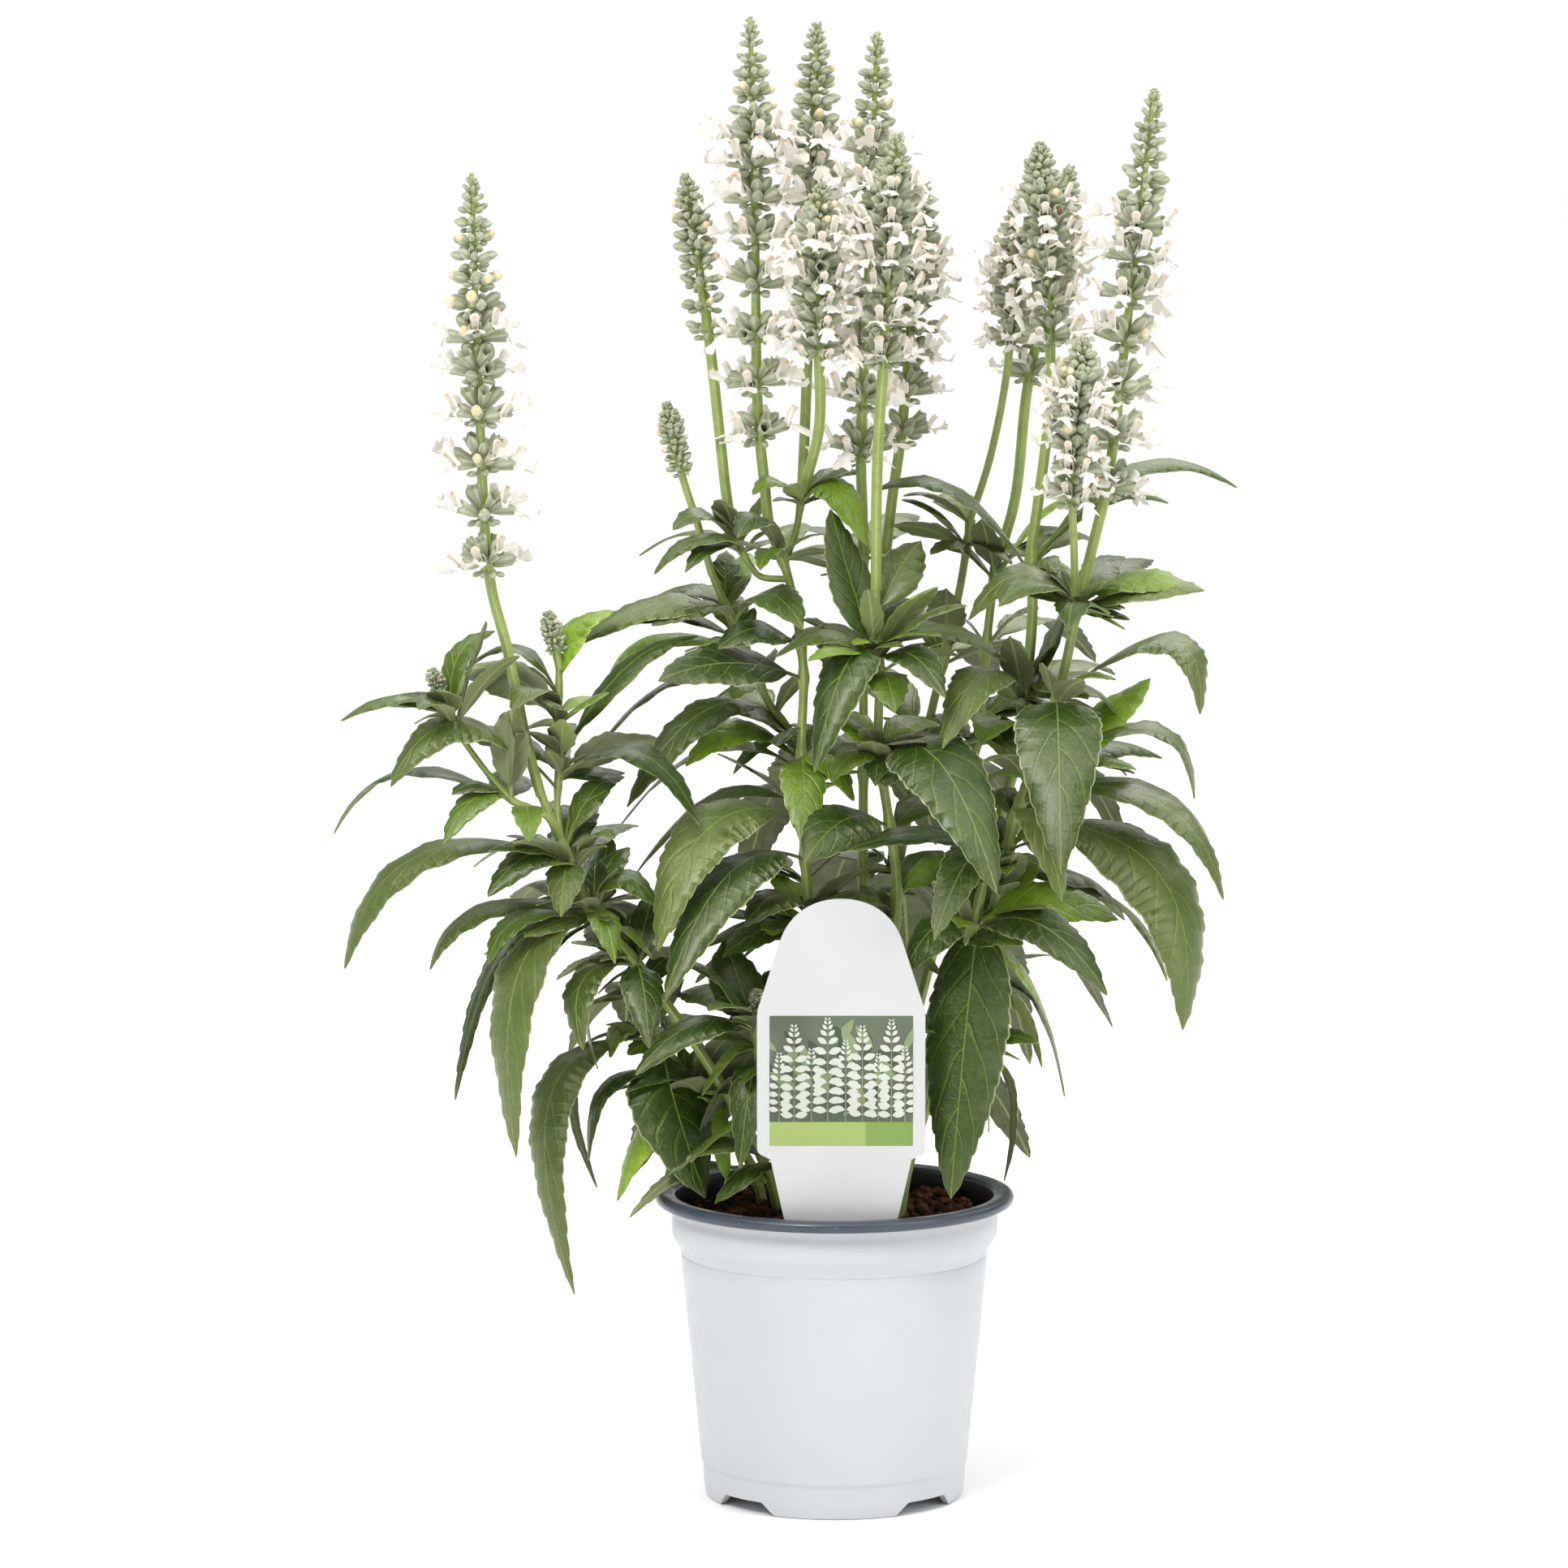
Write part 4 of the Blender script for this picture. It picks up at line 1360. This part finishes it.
def make_tag(paints):
    piece = Piece("tag_card", [paints["card"]], "tag_plastic")
    back = TAG_FRONT_Y + TAG_THICKNESS
    steps = [(TAG_BEVEL, TAG_FRONT_Y), (0, TAG_FRONT_Y + TAG_BEVEL), (0, back - TAG_BEVEL), (TAG_BEVEL, back)]
    rim = [np.array([(TAG_CENTRE_X + x, y, z) for x, z in tag_outline(inset)]) for inset, y in steps]
    piece.sheet(rim, 0, ring=True)
    for row, flip in ((rim[0], False), (rim[-1], True)):
        left = np.concatenate([row[:1], row[:len(row) // 2:-1]])
        piece.sheet(np.stack([left, row[:len(left)]], axis=1), 0, flip=flip)
    piece.build("plant_tag", sharp=30)


def add_patch(piece, points, slot, layer):
    """A strip of left and right points, each x and z on the tag."""
    y = TAG_FRONT_Y - PRINT_LIFT - LAYER_LIFT * layer
    piece.sheet([[(TAG_CENTRE_X + x, y, z) for x, z in row] for row in points], slot)


def add_rectangle(piece, x0, z0, x1, z1, slot):
    add_patch(piece, [[(x0, z0), (x1, z0)], [(x0, z1), (x1, z1)]], slot, 0)


def add_blade(piece, foot, degrees, length, half_width, slot, layer):
    """A printed leaf or petal, cut off at the panel's edge."""
    x0, z0, x1, z1 = PANEL
    heading = math.radians(degrees)
    dx, dz = math.cos(heading), math.sin(heading)
    rows = []
    for t in np.linspace(0.0, 1.0, 9):
        half = half_width * math.sin(math.pi * t) ** 0.8 + 0.01
        x, z = foot[0] + t * length * dx, foot[1] + t * length * dz
        ends = [(x - k * half * dz, z + k * half * dx) for k in (1, -1)]
        rows.append([(min(max(end_x, x0), x1), min(max(end_z, z0), z1)) for end_x, end_z in ends])
    add_patch(piece, rows, slot, layer)


def add_printed_spike(piece, x, top, size, layer, random):
    """A printed flower spike: its stalk and pairs of petals, shorter and steeper towards its top."""
    _, z0, _, z1 = PANEL
    stalk = [[(x - 0.2, z0), (x + 0.2, z0)], [(x - 0.1, top - 1), (x + 0.1, top - 1)]]
    add_patch(piece, stalk, PRINT_LEAF, layer)
    z = z0 + random.uniform(1.5, 4)
    while z < top:
        left = (top - z) / (z1 - z0)
        reach = size * (0.9 + 3.2 * min(1, 3.2 * left))
        for side in (1, -1):
            degrees = 90 - side * (28 + 52 * min(1, 2.5 * left))
            add_blade(piece, (x + 0.25 * side, z), degrees, reach, 0.26 * reach, PRINT_WHITE, layer)
        z += 0.62 * reach + 0.35


def make_print(paints):
    """The tag's picture: made-up white sprigs on a grey-green ground, over a band in two greens."""
    random = np.random.RandomState(3)
    piece = Piece("tag_print", [paints[key] for key in PRINT_PAINTS], "tag_plastic")
    x0, z0, x1, z1 = PANEL
    add_rectangle(piece, *PANEL, PRINT_GROUND)
    left, low, right, high = BAND
    add_rectangle(piece, left, low, BAND_SPLIT, high, PRINT_BAND)
    add_rectangle(piece, BAND_SPLIT, low, right, high, PRINT_BAND_END)
    for layer, x in enumerate(np.linspace(x0 + 1, x1 - 1, PRINT_LEAVES), 1):
        foot = (x, z0 + random.uniform(0, 0.75 * (z1 - z0)))
        degrees = 90 + random.uniform(-65, 65)
        length, half_width = random.uniform(7, 11), random.uniform(1.1, 1.8)
        add_blade(piece, foot, degrees, length, half_width, (PRINT_LEAF, PRINT_SHADE)[layer % 2], layer)
    for layer, (x, share, size) in enumerate(PRINT_SPIKES, PRINT_LEAVES + 2):
        add_printed_spike(piece, x, z0 + share * (z1 - z0), size, layer, random)
    piece.build(sharp=30)


# Scene


def make_floor():
    paint = Paint("floor")
    white = paint.mix(paint.noise(3.0, 2.0), tone(246, 246, 246), tone(249, 249, 249))
    mesh = mesh_of("floor", [(-9, -4, 0), (9, -4, 0), (9, 30, 0), (-9, 30, 0)], [[0, 1, 2, 3]])
    mesh.materials.append(paint.set(Base_Color=white, Roughness=0.95, Specular_IOR_Level=0.1))
    add_object("floor", mesh)


def make_lamps():
    for name, at, size, power in LAMPS:
        data = bpy.data.lights.new(name, "AREA")
        data.shape = "RECTANGLE"
        data.size, data.size_y = size
        data.energy = power
        aim(add_object(name, data), at, LAMP_AIM)


def make_sky():
    world = bpy.data.worlds.new("studio")
    world.use_nodes = True
    tree = world.node_tree
    coordinate = tree.nodes.new("ShaderNodeTexCoord")
    height = tree.nodes.new("ShaderNodeSeparateXYZ")
    ramp = tree.nodes.new("ShaderNodeValToRGB")
    tree.links.new(coordinate.outputs["Generated"], height.inputs[0])
    tree.links.new(height.outputs["Z"], ramp.inputs["Fac"])
    tree.links.new(ramp.outputs["Color"], tree.nodes["Background"].inputs["Color"])
    stops = ramp.color_ramp.elements
    while len(stops) < len(SKY):
        stops.new(0.5)
    for stop, (at, light) in zip(stops, SKY):
        stop.position = at
        stop.color = (light, light, light, 1)
    bpy.context.scene.world = world


def make_camera():
    data = bpy.data.cameras.new("camera")
    data.sensor_width = SENSOR
    data.lens = SENSOR * FOCAL_PIXELS / FRAME_PIXELS
    data.clip_end = 20
    camera = add_object("camera", data)
    aim(camera, metres(EYE), metres(AIM))
    bpy.context.scene.camera = camera


def make_paints():
    paints = {
        "leaf_top": leaf_top(), "leaf_underside": leaf_under(), "stem": stem_paint(),
        "calyx": calyx_paint(), "petal": petal_paint(), "bud_tip": bud_tip_paint(),
        "anther": anther_paint(), "withered": withered_paint(), "peat": peat_paint(),
        "white_plastic": white_plastic(), "dark_plastic": lip_plastic(), "inner_plastic": inner_plastic(),
    }
    for name, (one, other) in CARDS.items():
        paints[name] = card_paint(name, one, other)
    return paints


def main():
    paints = make_paints()
    make_camera()
    make_lamps()
    make_sky()
    make_floor()
    make_pot(paints)
    make_soil(paints)
    make_tag(paints)
    make_print(paints)
    for number, paths in enumerate(STEMS, 1):
        leafy_stem(number, paths, paints)
    for number, row in enumerate(SPIKES, 1):
        flower_spike(number, row, paints)
    bpy.context.scene.view_settings.view_transform = "Standard"


main()
